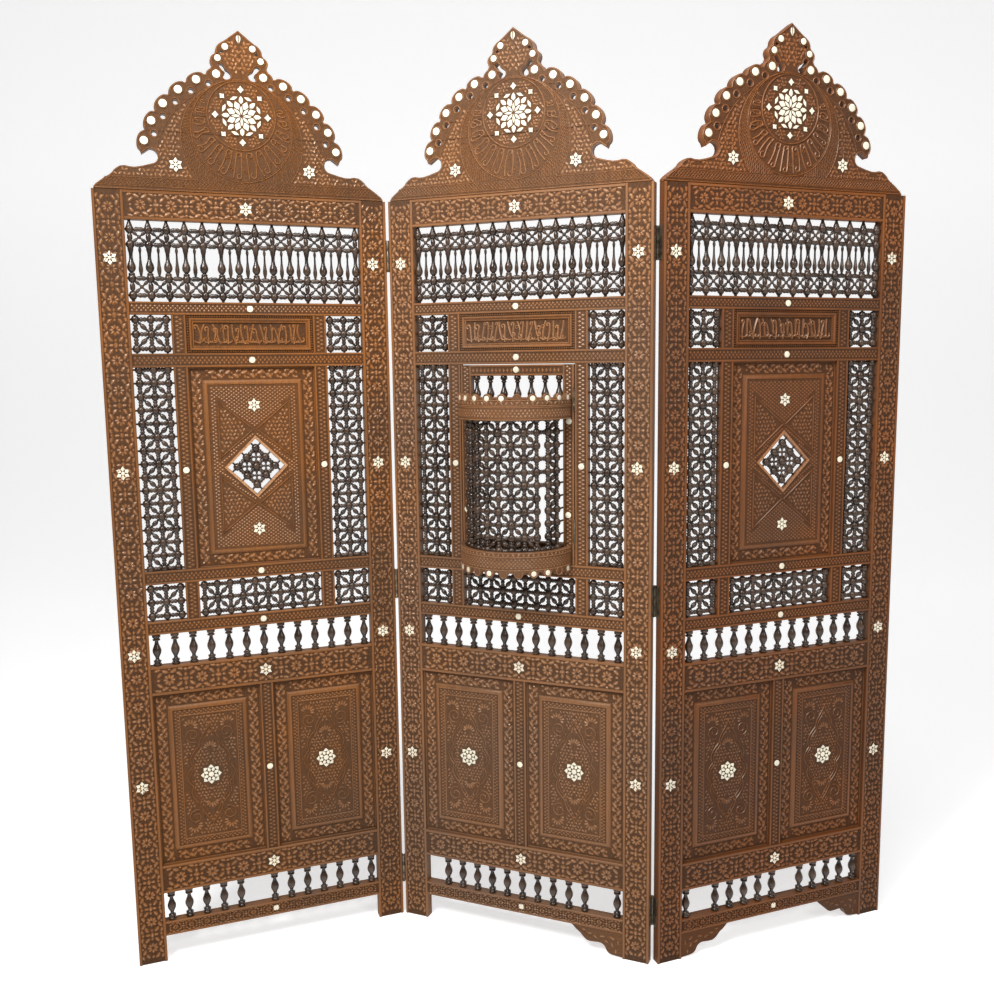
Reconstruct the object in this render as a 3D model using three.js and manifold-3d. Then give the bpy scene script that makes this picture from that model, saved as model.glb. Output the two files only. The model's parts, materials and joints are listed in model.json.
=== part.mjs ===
// Three-leaf folding mashrabiya screen in carved and turned walnut with bone inlay.
// Each leaf is a mortised frame round turned lattices, balusters and carved panels, under a pierced crest.
// The middle leaf holds a small hinged window with a half-round lattice bay.
// Millimetres, +Z up, the screen's front faces -Y. In a leaf's own frame x runs along its width from 0,
// y runs from the front face (0) to the back face, and z is the height above the floor.

import * as THREE from "three";
import { mergeVertices } from "three/addons/utils/BufferGeometryUtils.js";
import Module from "manifold-3d";

const wasm = await Module();
wasm.setup();

// ---------------------------------------------------------------- driving dimensions

const LEAF_WIDTH = 610;
const STILE_HEIGHT = 1700;
const THICK = 22; // stiles and rails, front to back
const STILE = 60; // width of an outer stile
const GAP = 0.3; // clearance between pieces that touch
const OVER = 1; // how far a cutter or a tenon runs past the face it meets
const MID = LEAF_WIDTH / 2;

// how the leaves stand: each leaf's turn about the vertical, from left to right
const LEAF_YAW = { left: 20.6, middle: -21.9, right: 20.8 };

// heights of the rails, bottom and top
const BOTTOM_RAIL = [60, 93];
const LOWER_RAIL = [162, 226];
const UPPER_RAIL = [622, 687];
const CROSS_RAILS = [[758, 787], [869, 898], [1336.5, 1366], [1447, 1474]];
const TOP_RAIL = [1641, STILE_HEIGHT];

// narrow posts between the small side lattices and the centre opening
const POST = 29;
const SIDE_OPENING = 81.5; // width of a side lattice
const POSTS = [
  [STILE + SIDE_OPENING, STILE + SIDE_OPENING + POST],
  [LEAF_WIDTH - STILE - SIDE_OPENING - POST, LEAF_WIDTH - STILE - SIDE_OPENING],
];
const LOWER_POST = [MID - POST / 2, MID + POST / 2];
const FRAME_FRONT = 1.5; // narrow rails and posts sit this far behind the stiles' face
const FRAME_THICK = 18;
const CARVED = { border: 5, sunk: 1.5 }; // raised edges and depth of a stile's or rail's carved field
const LATTICE_PLANE = 11; // depth of the middle of every turned piece
const BAR = 8; // thickness of a lattice rod
const BALUSTER_PITCH = 38.3;
const BALUSTERS = 13;
const BALUSTER_RADIUS = { dado: 8.5, foot: 9, sash: 7 };

// panels: a plate with a raised field, and the width of the sloping border round each field
const PANEL = { front: 6, rise: 4, back: 17 };
const BORDER = { lower: 36, centre: 34, tablet: 13 };
const DIAMOND = { z: 1117, reach: 64, rod: 6, shift: 16 }; // pierced opening of a centre panel

// crest
const CREST_THICK = 19;
const CREST_FRONT = 1.5;
const LOBE_CENTRE = 43.5; // height of the centre of the lobed flanks, above the stiles
const LOBE_RADIUS = 206; // circle through the bone bosses
const LOBE_STEP = 12.1; // degrees between bosses
const LOBE_FIRST = 16;
const LOBES = 6;
const HOLE_CIRCLE = 191; // circle through the small round holes
const HOLE = { radius: 5.5, sides: 5 };
const SHOULDER = [[300, 0], [300, 6], [284, 19], [265, 31], [258, 41], [243, 50], [222, 46], [203, 50]];
const COVE = { x: 187, z: 70, r: 15 };
const HOOK = [[204, 74], [212, 84]];
const NECK = [[56, 261], [60, 271], [57, 280], [48, 286], [47, 297], [40, 306], [28, 313], [13, 325]];
const TIP = [0, 335];
const CREST_SHIFT = { left: 0, middle: 0, right: -6 }; // the right crest is glued a little off the middle
const NECK_SLOT = [[42, 262], [35, 266], [18, 247], [22, 235], [33, 235], [27, 247]];

// window and bay in the middle leaf
const SASH = { x0: 172, x1: 437.5, z0: 899.5, z1: 1335, stile: 25, top: 24, bottom: 46 };
const SASH_THICK = 18;
const SASH_RAIL = [1238, 1264]; // rail that the small balusters stand on
const SASH_BALUSTERS = { each: 3, pitch: 32.3 }; // on each side of the middle one
const BAY_X = (SASH.x0 + SASH.x1) / 2;
const HOOD = { r: 127, z0: 1219.5, z1: 1274, board: 1250.5 };
const BASE = { r: 126, z0: 886, z1: 941, board: 900 };
const FASCIA = 10; // thickness of the curved boards
const BAY_BOARD = 8; // thickness of the half-round roof and floor
const BAY_LATTICE = { r: 110, rod: 7, uprights: [-75, -45, -15, 15, 45, 75], hoops: [3, 7] };
const BAY_STEP = 15; // degrees between lattice rods and between lobes
const BEAD_PITCH = 28;

// hinges
const HINGE = { gap: 2.2, proud: 2.5, r: 3, plate: 1.2, width: 17, height: 70 };
const HINGE_HEIGHTS = { upper: 1580, middle: 827, lower: 118 };
const SASH_HINGE = { gap: 1, proud: 2, r: 1.9, plate: 0.7, width: 14, height: 52 };
const SASH_HINGE_HEIGHTS = { upper: 1260, lower: 974 };

// hinge axes in a leaf's own frame: past its left or right edge, in front of it or behind it
const LEFT_EDGE = -HINGE.gap;
const RIGHT_EDGE = LEAF_WIDTH + HINGE.gap;
const IN_FRONT = -HINGE.proud;
const BEHIND = THICK + HINGE.proud;
const SASH_AXIS = [SASH.x1 + SASH_HINGE.gap, FRAME_FRONT - SASH_HINGE.proud];

// what lies between the stiles, and between the narrow posts
const INNER = { x0: STILE + GAP, x1: LEAF_WIDTH - STILE - GAP };
const CENTRE = { x0: POSTS[0][1] + GAP, x1: POSTS[1][0] - GAP };

// ---------------------------------------------------------------- colours of the finished wood

const WOODS = {
  left: 0x7a4a2b,
  middle: 0x7d5440,
  right: 0x6e3f2c,
};
const TURNED = 0x4e3f35;
const STEEL = 0x4a3a2c;

// ---------------------------------------------------------------- solids and meshes

// A closed geometry as a solid: vertices shared, faces pointing out.
function solid(geometry) {
  const g = geometry.clone();
  g.deleteAttribute("normal");
  g.deleteAttribute("uv");
  const merged = mergeVertices(g, 1e-4);
  const triVerts = new Uint32Array(merged.index.array);
  const vertProperties = new Float32Array(merged.attributes.position.array);
  return new wasm.Manifold(new wasm.Mesh({ numProp: 3, vertProperties, triVerts }));
}

function geometryOf(piece) {
  const mesh = piece.getMesh();
  const g = new THREE.BufferGeometry();
  g.setAttribute("position", new THREE.BufferAttribute(new Float32Array(mesh.vertProperties), 3));
  g.setIndex(new THREE.BufferAttribute(new Uint32Array(mesh.triVerts), 1));
  g.computeVertexNormals();
  return g;
}

const join = (pieces) => pieces.reduce((whole, piece) => whole.add(piece));
const cut = (whole, pieces) => pieces.reduce((rest, piece) => rest.subtract(piece), whole);

function finish(color, roughness = 0.55, metalness = 0) {
  return new THREE.MeshStandardMaterial({ color, roughness, metalness });
}

function named(name, piece, material) {
  const mesh = new THREE.Mesh(geometryOf(piece), material);
  mesh.name = name;
  return mesh;
}

function block(x0, x1, y0, y1, z0, z1) {
  const g = new THREE.BoxGeometry(x1 - x0, y1 - y0, z1 - z0);
  g.translate((x0 + x1) / 2, (y0 + y1) / 2, (z0 + z1) / 2);
  return solid(g);
}

// A board cut to an outline drawn in x and z, from its front face backwards.
function board(shape, front, thick) {
  const g = new THREE.ExtrudeGeometry(shape, { depth: thick, bevelEnabled: false });
  g.rotateX(Math.PI / 2);
  g.translate(0, front + thick, 0);
  return solid(g);
}

// A slab cut to an outline drawn in x and y, from z0 upwards.
function slab(shape, z0, z1) {
  const g = new THREE.ExtrudeGeometry(shape, { depth: z1 - z0, bevelEnabled: false });
  g.translate(0, 0, z0);
  return solid(g);
}

const outline = (points) => new THREE.Shape(points.map(([a, b]) => new THREE.Vector2(a, b)));

// A turned piece about a vertical axis; the profile lists radius and height.
function turned(profile, x, y, z, sides) {
  const g = new THREE.LatheGeometry(profile.map(([r, h]) => new THREE.Vector2(r, h)), sides);
  g.rotateX(Math.PI / 2);
  g.translate(x, y, z);
  return solid(g);
}

// ---------------------------------------------------------------- frame members

// Section of a carved member: raised borders round a field sunk for the carving.
function carvedSection(width, thick) {
  const { border, sunk } = CARVED;
  return [
    [0, 0], [border, 0], [border + sunk, sunk], [width - border - sunk, sunk],
    [width - border, 0], [width, 0], [width, thick], [0, thick],
  ];
}

function stile(x0, x1) {
  const section = carvedSection(x1 - x0, THICK).map(([a, b]) => [x0 + a, b]);
  return slab(outline(section), 0, STILE_HEIGHT);
}

// A carved rail between the stiles: the same section, run along x.
function rail([z0, z1]) {
  const section = carvedSection(z1 - z0, THICK).map(([a, b]) => [b, z0 + a]);
  const g = new THREE.ExtrudeGeometry(outline(section), { depth: INNER.x1 - INNER.x0, bevelEnabled: false });
  const turn = new THREE.Matrix4().makeBasis(
    new THREE.Vector3(0, 1, 0), new THREE.Vector3(0, 0, 1), new THREE.Vector3(1, 0, 0),
  );
  g.applyMatrix4(turn);
  g.translate(INNER.x0, 0, 0);
  return solid(g);
}

// A narrow rail or post, set back a little from the stiles' face.
function narrow(x0, x1, z0, z1) {
  return block(x0, x1, FRAME_FRONT, FRAME_FRONT + FRAME_THICK, z0, z1);
}

// A vase-shaped baluster between two heights, its foot sunk a little into the rail below.
function baluster(x, z0, z1, radius) {
  const h = z1 - z0;
  const foot = radius * 0.6;
  const neck = radius * 0.5;
  const profile = [[0, -OVER], [foot, -OVER], [radius, h * 0.38], [neck, h], [0, h]];
  return turned(profile, x, LATTICE_PLANE, z0, 4);
}

// A row of balusters across the leaf; numbers in lost are the ones broken out.
function balusterRow(z0, z1, radius, lost = []) {
  const row = [];
  for (let k = 1; k <= BALUSTERS; k += 1) {
    if (!lost.includes(k)) {
      row.push(baluster(MID + (k - (BALUSTERS + 1) / 2) * BALUSTER_PITCH, z0, z1, radius));
    }
  }
  return row;
}

// Rods crossing in an opening, the plain core of a turned lattice.
function lattice(x0, x1, z0, z1, uprights, crossings) {
  const y0 = LATTICE_PLANE - BAR / 2;
  const y1 = LATTICE_PLANE + BAR / 2;
  const rods = [];
  for (let i = 0; i < uprights; i += 1) {
    const x = x0 + ((i + 0.5) * (x1 - x0)) / uprights;
    rods.push(block(x - BAR / 2, x + BAR / 2, y0, y1, z0, z1));
  }
  for (let j = 0; j < crossings; j += 1) {
    const z = z0 + ((j + 0.5) * (z1 - z0)) / crossings;
    rods.push(block(x0, x1, y0, y1, z - BAR / 2, z + BAR / 2));
  }
  return join(rods);
}

// Narrow rails and posts of the upper part, with the square lattices and the sill lattice in them.
function crossFrame(withWindow) {
  const { x0: left, x1: right } = INNER;
  const pieces = CROSS_RAILS.map(([z0, z1]) => narrow(left, right, z0, z1));
  for (let row = 0; row < CROSS_RAILS.length - 1; row += 1) {
    const z0 = CROSS_RAILS[row][1];
    const z1 = CROSS_RAILS[row + 1][0];
    POSTS.forEach(([x0, x1]) => pieces.push(narrow(x0, x1, z0, z1)));
    if (row !== 1) {
      pieces.push(lattice(left, POSTS[0][0], z0, z1, 1, 1));
      pieces.push(lattice(POSTS[1][1], right, z0, z1, 1, 1));
    }
    if (row === 0) {
      pieces.push(lattice(POSTS[0][1], POSTS[1][0], z0, z1, 3, 1));
    }
  }
  if (withWindow) {
    const [x, y] = SASH_AXIS;
    const half = knuckleHalf(SASH_HINGE);
    Object.values(SASH_HINGE_HEIGHTS).forEach((z) => {
      pieces.push(knuckle(x, y, z, SASH_HINGE, 0));
      pieces.push(block(x + GAP, POSTS[1][0] + OVER, y, FRAME_FRONT + 2 * OVER, z - half, z + half));
    });
  }
  return join(pieces);
}

// Two wide rails, the short post between them and the upper row of balusters.
function dadoFrame() {
  return join([
    rail(LOWER_RAIL),
    rail(UPPER_RAIL),
    narrow(LOWER_POST[0], LOWER_POST[1], LOWER_RAIL[1] - OVER, UPPER_RAIL[0] + OVER),
    ...balusterRow(UPPER_RAIL[1], CROSS_RAILS[0][0] - GAP, BALUSTER_RADIUS.dado),
  ]);
}

// Scalloped bracket under the bottom rail, drawn for the left corner.
function bracketOutline() {
  const rise = BOTTOM_RAIL[0] + OVER;
  return [
    [INNER.x0, rise], [INNER.x0, 2], [90, 4], [98, 11], [102, 22], [112, 28],
    [131, 26], [144, 26], [154, 34], [160, 42], [170, 48], [181, rise],
  ];
}

function bracket(side) {
  const points = bracketOutline();
  const placed = side === "right" ? points.map(([x, z]) => [LEAF_WIDTH - x, z]).reverse() : points;
  return board(outline(placed), FRAME_FRONT, FRAME_THICK);
}

function bottomRail(lost, brackets) {
  return join([
    rail(BOTTOM_RAIL),
    ...balusterRow(BOTTOM_RAIL[1], LOWER_RAIL[0] - GAP, BALUSTER_RADIUS.foot, lost),
    ...brackets.map(bracket),
  ]);
}

// ---------------------------------------------------------------- panels

function rectangle(x0, x1, z0, z1) {
  return outline([[x0, z0], [x1, z0], [x1, z1], [x0, z1]]);
}

// A flat field with sloping sides, standing forward of a panel's plate.
function raisedField(x0, x1, z0, z1) {
  const { front, rise } = PANEL;
  const g = new THREE.ExtrudeGeometry(rectangle(x0 + rise, x1 - rise, z0 + rise, z1 - rise), {
    depth: OVER,
    bevelThickness: rise,
    bevelSize: rise,
    bevelSegments: 1,
  });
  g.rotateX(Math.PI / 2);
  g.translate(0, front + rise + OVER, 0);
  const waste = block(x0 - OVER, x1 + OVER, front + rise + OVER / 2, PANEL.back, z0 - OVER, z1 + OVER);
  return solid(g).subtract(waste);
}

// A carved panel: sloping border round a raised field, flat at the back.
function panel(x0, x1, z0, z1, border) {
  const plate = block(x0, x1, PANEL.front + PANEL.rise, PANEL.back, z0, z1);
  return plate.add(raisedField(x0 + border, x1 - border, z0 + border, z1 - border));
}

// Tall panel pierced by a square set on its corner, with crossed rods in it.
function pierced(x0, x1, z0, z1) {
  const { z: middle, reach, rod, shift } = DIAMOND;
  const corners = [[-reach, 0], [0, -reach], [reach, 0], [0, reach]];
  const opening = board(outline(corners.map(([x, z]) => [MID + x, middle + z])), 0, THICK);
  const y0 = LATTICE_PLANE - rod / 2;
  const y1 = LATTICE_PLANE + rod / 2;
  const half = rod / 2;
  const run = reach - shift + 2 * OVER;
  const rods = [-shift, shift].flatMap((at) => [
    block(MID + at - half, MID + at + half, y0, y1, middle - run, middle + run),
    block(MID - run, MID + run, y0, y1, middle + at - half, middle + at + half),
  ]);
  return join([panel(x0, x1, z0, z1, BORDER.centre).subtract(opening), ...rods]);
}

// ---------------------------------------------------------------- crest

const onLobes = (radius, degrees) => {
  const a = THREE.MathUtils.degToRad(degrees);
  return [radius * Math.cos(a), LOBE_CENTRE + radius * Math.sin(a)];
};

// One scallop of the lobed edge: share of the step past its boss, and height over the boss circle.
const SCALLOP = [[-0.2, 13], [0.22, 13], [0.5, 4.5]];

// Right half of the crest's outline, from the foot to the tip, x measured from the middle.
function crestFlank() {
  const cove = [];
  for (let degrees = -95; degrees >= -275; degrees -= 60) {
    const a = THREE.MathUtils.degToRad(degrees);
    cove.push([COVE.x + COVE.r * Math.cos(a), COVE.z + COVE.r * Math.sin(a)]);
  }
  const lobes = [];
  for (let lobe = 0; lobe < LOBES; lobe += 1) {
    // the last lobe runs into the neck, so it keeps only its first point
    const scallop = lobe < LOBES - 1 ? SCALLOP : SCALLOP.slice(0, 1);
    scallop.forEach(([part, rise]) => {
      lobes.push(onLobes(LOBE_RADIUS + rise, LOBE_FIRST + (lobe + part) * LOBE_STEP));
    });
  }
  return [...SHOULDER, ...cove, ...HOOK, ...lobes, ...NECK];
}

// A point of the crest, measured from the middle of its foot, in the leaf's frame.
const onCrest = ([x, z]) => [MID + x, STILE_HEIGHT + GAP + z];

function crestOutline() {
  const flank = crestFlank();
  const mirrored = flank.map(([x, z]) => [-x, z]).reverse();
  return outline([...flank, TIP, ...mirrored].map(onCrest));
}

// A cutter for an outline on the crest, right through its thickness.
function crestCutter(points) {
  return board(outline(points.map(onCrest)), CREST_FRONT - OVER, CREST_THICK + 2 * OVER);
}

function roundCutter([x, z]) {
  const points = [];
  for (let k = 0; k < HOLE.sides; k += 1) {
    const a = ((k + 0.5) * 2 * Math.PI) / HOLE.sides;
    points.push([x + HOLE.radius * Math.cos(a), z + HOLE.radius * Math.sin(a)]);
  }
  return crestCutter(points);
}

// Curled slot at the neck, on one side.
function neckSlot(side) {
  const points = NECK_SLOT.map(([x, z]) => [side * x, z]);
  return crestCutter(side > 0 ? points : points.reverse());
}

function crest() {
  const body = board(crestOutline(), CREST_FRONT, CREST_THICK);
  const holes = [];
  [-1, 1].forEach((side) => {
    for (let k = 0; k < LOBES - 1; k += 1) {
      const [x, z] = onLobes(HOLE_CIRCLE, LOBE_FIRST + (k + 0.5) * LOBE_STEP);
      holes.push(roundCutter([side * x, z]));
    }
    holes.push(neckSlot(side));
  });
  return cut(body, holes);
}

// ---------------------------------------------------------------- window and bay

// The window's frame: a tall opening, a rail, and a row of small balusters on the rail.
function sash() {
  const { x0, x1, z0, z1, stile: side, top, bottom } = SASH;
  const y0 = FRAME_FRONT;
  const y1 = FRAME_FRONT + SASH_THICK;
  const frame = block(x0, x1, y0, y1, z0, z1);
  const openings = [
    block(x0 + side, x1 - side, y0 - OVER, y1 + OVER, z0 + bottom, SASH_RAIL[0]),
    block(x0 + side, x1 - side, y0 - OVER, y1 + OVER, SASH_RAIL[1], z1 - top),
  ];
  const small = [];
  for (let k = -SASH_BALUSTERS.each; k <= SASH_BALUSTERS.each; k += 1) {
    const x = BAY_X + k * SASH_BALUSTERS.pitch;
    small.push(baluster(x, SASH_RAIL[1], z1 - top + OVER, BALUSTER_RADIUS.sash));
  }
  return join([cut(frame, openings), ...small]);
}

// Half ring round the bay's axis, from the sash's face forwards.
function halfRing(outer, inner, z0, z1, step = BAY_STEP) {
  const arc = (radius) => {
    const points = [];
    for (let degrees = -180; degrees <= 0; degrees += step) {
      const a = THREE.MathUtils.degToRad(degrees);
      points.push([BAY_X + radius * Math.cos(a), FRAME_FRONT - GAP + radius * Math.sin(a)]);
    }
    return points;
  };
  const inside = inner > 0 ? arc(inner).reverse() : [];
  return slab(outline([...arc(outer), ...inside]), z0, z1);
}

// Curved fascia of the bay, closed by a half-round board.
function fascia({ r, z0, z1, board: foot }) {
  return halfRing(r, r - FASCIA, z0, z1).add(halfRing(r - FASCIA + OVER, 0, foot, foot + BAY_BOARD));
}

// Rods and hoops of the bay's lattice, plain cores of the turned work.
function bayLattice(z0, z1) {
  const { r, rod, uprights: angles, hoops: rows } = BAY_LATTICE;
  const uprights = angles.map((degrees) => {
    const g = new THREE.BoxGeometry(rod, rod, z1 - z0);
    g.translate(0, -(r - rod / 2), (z0 + z1) / 2);
    g.rotateZ(THREE.MathUtils.degToRad(degrees));
    g.translate(BAY_X, FRAME_FRONT - GAP, 0);
    return solid(g);
  });
  const hoops = rows.map((row) => {
    const z = z0 + rod + row * BEAD_PITCH;
    return halfRing(r, r - rod, z, z + rod, 2 * BAY_STEP);
  });
  return join([...uprights, ...hoops]);
}

// ---------------------------------------------------------------- hinges

// Half the height of one of a hinge's three knuckles.
function knuckleHalf(hinge) {
  return hinge.height / 6 - GAP / 2;
}

// Third of a hinge barrel; part -1 is the lowest, 0 the middle and 1 the highest.
function knuckle(x, y, z, hinge, part) {
  const half = knuckleHalf(hinge);
  const profile = [[0, -half], [hinge.r, -half], [hinge.r, half], [0, half]];
  return turned(profile, x, y, z + part * (hinge.height / 3), 5);
}

// A block between two corners given in any order along x and y.
function between(x0, x1, y0, y1, z0, z1) {
  return block(Math.min(x0, x1), Math.max(x0, x1), Math.min(y0, y1), Math.max(y0, y1), z0, z1);
}

// One leaf of a butt hinge, with its barrel at x and y. side is the direction of the wood it is let
// on to, and inward the way from the barrel across the wood's thickness.
function hingeLeaf([x, y], z, hinge, side, inward, parts) {
  const half = knuckleHalf(hinge);
  const x0 = x + side * (hinge.gap - GAP);
  const x1 = x0 - side * hinge.plate;
  const y0 = y + inward * (hinge.r + 2 * GAP);
  const y1 = y + inward * hinge.width;
  const edge = hinge.height / 2 - GAP / 2;
  const tabs = parts.map((part) => {
    const middle = z + part * (hinge.height / 3);
    return between(x0, x1, y, y1, middle - half, middle + half);
  });
  const plate = between(x0, x1, y0, y1, z - edge, z + edge);
  return join([plate, ...tabs, ...parts.map((part) => knuckle(x, y, z, hinge, part))]);
}

// ---------------------------------------------------------------- leaves

// Heights between two neighbouring cross rails.
const opening = (row) => [CROSS_RAILS[row][1] + GAP, CROSS_RAILS[row + 1][0] - GAP];

// Pieces that every leaf has, and the ones that differ from leaf to leaf.
function makeLeaf(leaf, lost, brackets) {
  const wood = () => finish(WOODS[leaf]);
  const dark = () => finish(TURNED, 0.5);
  const window = leaf === "middle";
  const tall = opening(1);
  const lower = [LOWER_RAIL[1] + GAP, UPPER_RAIL[0] - GAP];
  const frieze = [CROSS_RAILS[3][1] + GAP, TOP_RAIL[0] - GAP];
  const group = new THREE.Group();
  const add = (name, piece, material) => group.add(named(`${leaf}_${name}`, piece, material));

  add("crest", crest().translate([CREST_SHIFT[leaf], 0, 0]), wood());
  add("stile_left", stile(0, STILE), wood());
  add("stile_right", stile(LEAF_WIDTH - STILE, LEAF_WIDTH), wood());
  add("top_rail", rail(TOP_RAIL), wood());
  add("cross_frame", crossFrame(window), wood());
  add("dado_frame", dadoFrame(), wood());
  add("bottom_rail", bottomRail(lost, brackets), wood());
  add("lower_panel_left", panel(INNER.x0, LOWER_POST[0] - GAP, ...lower, BORDER.lower), wood());
  add("lower_panel_right", panel(LOWER_POST[1] + GAP, INNER.x1, ...lower, BORDER.lower), wood());
  add("tablet", panel(CENTRE.x0, CENTRE.x1, ...opening(2), BORDER.tablet), wood());
  add("frieze_lattice", lattice(INNER.x0, INNER.x1, ...frieze, 4, 2), dark());
  add("side_lattice_left", lattice(INNER.x0, POSTS[0][0] - GAP, ...tall, 1, 3), dark());
  add("side_lattice_right", lattice(POSTS[1][1] + GAP, INNER.x1, ...tall, 1, 3), dark());
  if (window) {
    add("window_sash", sash(), wood());
    add("bay_hood", fascia(HOOD), wood());
    add("bay_base", fascia(BASE), wood());
    add("bay_lattice", bayLattice(BASE.board + BAY_BOARD + GAP, HOOD.board - GAP), dark());
  } else {
    add("centre_panel", pierced(CENTRE.x0, CENTRE.x1, ...tall), wood());
  }
  return group;
}

// Moves a leaf so that a point of its own frame lies at a point of the screen.
function place(group, yaw, [x, y], at) {
  const turn = THREE.MathUtils.degToRad(yaw);
  group.rotation.z = turn;
  group.position.set(
    at[0] - x * Math.cos(turn) + y * Math.sin(turn),
    at[1] - x * Math.sin(turn) - y * Math.cos(turn),
    0,
  );
}

const leaves = {
  left: makeLeaf("left", [6], []),
  middle: makeLeaf("middle", [1, 12], ["right"]),
  right: makeLeaf("right", [2, 8], ["left", "right"]),
};

// the middle leaf is hinged in front at its left edge and behind at its right edge
const middleTurn = THREE.MathUtils.degToRad(LEAF_YAW.middle);
const inScreen = ([x, y]) => [
  x * Math.cos(middleTurn) - y * Math.sin(middleTurn),
  x * Math.sin(middleTurn) + y * Math.cos(middleTurn),
];
place(leaves.middle, LEAF_YAW.middle, [0, 0], [0, 0]);
place(leaves.left, LEAF_YAW.left, [RIGHT_EDGE, IN_FRONT], inScreen([LEFT_EDGE, IN_FRONT]));
place(leaves.right, LEAF_YAW.right, [LEFT_EDGE, BEHIND], inScreen([RIGHT_EDGE, BEHIND]));

const steel = () => finish(STEEL, 0.45, 0.8);
const addHinge = (leaf, name, piece) => leaves[leaf].add(named(name, piece, steel()));
Object.entries(HINGE_HEIGHTS).forEach(([level, z]) => {
  const butt = (axis, side, inward, parts) => hingeLeaf(axis, z, HINGE, side, inward, parts);
  addHinge("left", `left_hinge_${level}_outer`, butt([RIGHT_EDGE, IN_FRONT], -1, 1, [-1, 1]));
  addHinge("middle", `left_hinge_${level}_inner`, butt([LEFT_EDGE, IN_FRONT], 1, 1, [0]));
  addHinge("middle", `right_hinge_${level}_inner`, butt([RIGHT_EDGE, BEHIND], -1, -1, [-1, 1]));
  addHinge("right", `right_hinge_${level}_outer`, butt([LEFT_EDGE, BEHIND], 1, -1, [0]));
});
Object.entries(SASH_HINGE_HEIGHTS).forEach(([level, z]) => {
  addHinge("middle", `window_hinge_${level}`, hingeLeaf(SASH_AXIS, z, SASH_HINGE, -1, 1, [-1, 1]));
});

// ---------------------------------------------------------------- the screen

const screen = new THREE.Group();
screen.add(leaves.left, leaves.middle, leaves.right);

// origin on the floor, in the middle of the screen's footprint
screen.updateMatrixWorld(true);
const bounds = new THREE.Box3().setFromObject(screen, true);
screen.position.set(-(bounds.min.x + bounds.max.x) / 2, -(bounds.min.y + bounds.max.y) / 2, -bounds.min.z);

export default screen;
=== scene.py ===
import json
import math

import bpy
import numpy as np
from mathutils import Matrix, Vector
from mathutils.geometry import tessellate_polygon


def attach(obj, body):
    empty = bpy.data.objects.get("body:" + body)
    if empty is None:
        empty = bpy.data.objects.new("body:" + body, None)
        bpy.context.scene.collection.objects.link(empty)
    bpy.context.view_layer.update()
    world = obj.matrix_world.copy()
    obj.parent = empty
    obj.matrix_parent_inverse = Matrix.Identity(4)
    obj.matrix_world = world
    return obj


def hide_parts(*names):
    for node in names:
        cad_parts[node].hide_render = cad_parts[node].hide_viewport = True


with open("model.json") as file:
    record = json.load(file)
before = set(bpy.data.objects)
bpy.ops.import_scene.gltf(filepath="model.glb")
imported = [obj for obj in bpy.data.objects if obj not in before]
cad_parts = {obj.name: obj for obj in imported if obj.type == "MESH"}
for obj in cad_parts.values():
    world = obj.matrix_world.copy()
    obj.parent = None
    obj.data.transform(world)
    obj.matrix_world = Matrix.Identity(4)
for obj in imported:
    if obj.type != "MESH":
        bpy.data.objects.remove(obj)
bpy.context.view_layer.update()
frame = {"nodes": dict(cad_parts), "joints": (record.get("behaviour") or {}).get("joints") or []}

# ------------------------------------------------------------------ view and light
# The screen stands on a pale paper sweep, seen from standing eye height a little left of its middle.
# Broad soft lights hang above and to both sides in front of it, the left one stronger.

EYE = (-0.0086, -2.2147, 1.3345)
LOOK_DOWN = math.radians(7.51)
ROLL = math.radians(-0.59)
FOCAL = 1006 / 995  # focal length as a share of the picture's height
VIEW_SHIFT = -0.0179

camera_data = bpy.data.cameras.new("camera")
camera_data.sensor_width = 36
camera_data.lens = 36 * FOCAL
camera_data.shift_x = VIEW_SHIFT
camera = bpy.data.objects.new("camera", camera_data)
camera.matrix_world = (
    Matrix.Translation(EYE)
    @ Matrix.Rotation(math.pi / 2 - LOOK_DOWN, 4, "X")
    @ Matrix.Rotation(ROLL, 4, "Z")
)
bpy.context.scene.collection.objects.link(camera)
bpy.context.scene.camera = camera
bpy.context.scene.view_settings.view_transform = "Standard"


def soft_light(name, place, target, size, power):
    """A square area light at place, turned so that its beam runs towards target."""
    data = bpy.data.lights.new(name, "AREA")
    data.size = size
    data.energy = power
    light = bpy.data.objects.new(name, data)
    light.location = place
    way = np.array(target, float) - np.array(place, float)
    light.rotation_euler = (math.acos(-way[2] / np.linalg.norm(way)), 0, math.atan2(-way[0], way[1]))
    bpy.context.scene.collection.objects.link(light)


soft_light("key", (-1.3, -2.1, 3.1), (0, 0, 1.35), 0.8, 94)
soft_light("fill", (2.0, -2.4, 2.4), (0, 0, 1.1), 1.2, 30)
soft_light("top", (0.2, -1.0, 3.4), (0, -0.1, 1.5), 1.0, 40)

world = bpy.data.worlds.new("studio")
world.use_nodes = True
world.node_tree.nodes["Background"].inputs["Color"].default_value = (1, 1, 1, 1)
world.node_tree.nodes["Background"].inputs["Strength"].default_value = 0.2
bpy.context.scene.world = world

# the paper sweep: level under the screen, then a quarter circle up behind it, and glowing a little so that
# it stays even and pale
SWEEP_BEND = 3.0
SWEEP_BACK = 3.5
bend = np.radians(np.arange(0, 91, 6))
curve = [(SWEEP_BACK + SWEEP_BEND * math.sin(a), SWEEP_BEND * (1 - math.cos(a))) for a in bend]
profile = [(-9.0, 0.0), *curve, (SWEEP_BACK + SWEEP_BEND, 9.0)]
sweep_points = [(x, y, z) for y, z in profile for x in (-12, 12)]
sweep_faces = [(2 * k, 2 * k + 1, 2 * k + 3, 2 * k + 2) for k in range(len(profile) - 1)]
sweep_mesh = bpy.data.meshes.new("paper_sweep")
sweep_mesh.from_pydata(sweep_points, [], sweep_faces)
sweep_mesh.shade_smooth()
sweep = bpy.data.objects.new("paper_sweep", sweep_mesh)
bpy.context.scene.collection.objects.link(sweep)
paper = bpy.data.materials.new("sweep_paper")
paper.use_nodes = True
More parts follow.
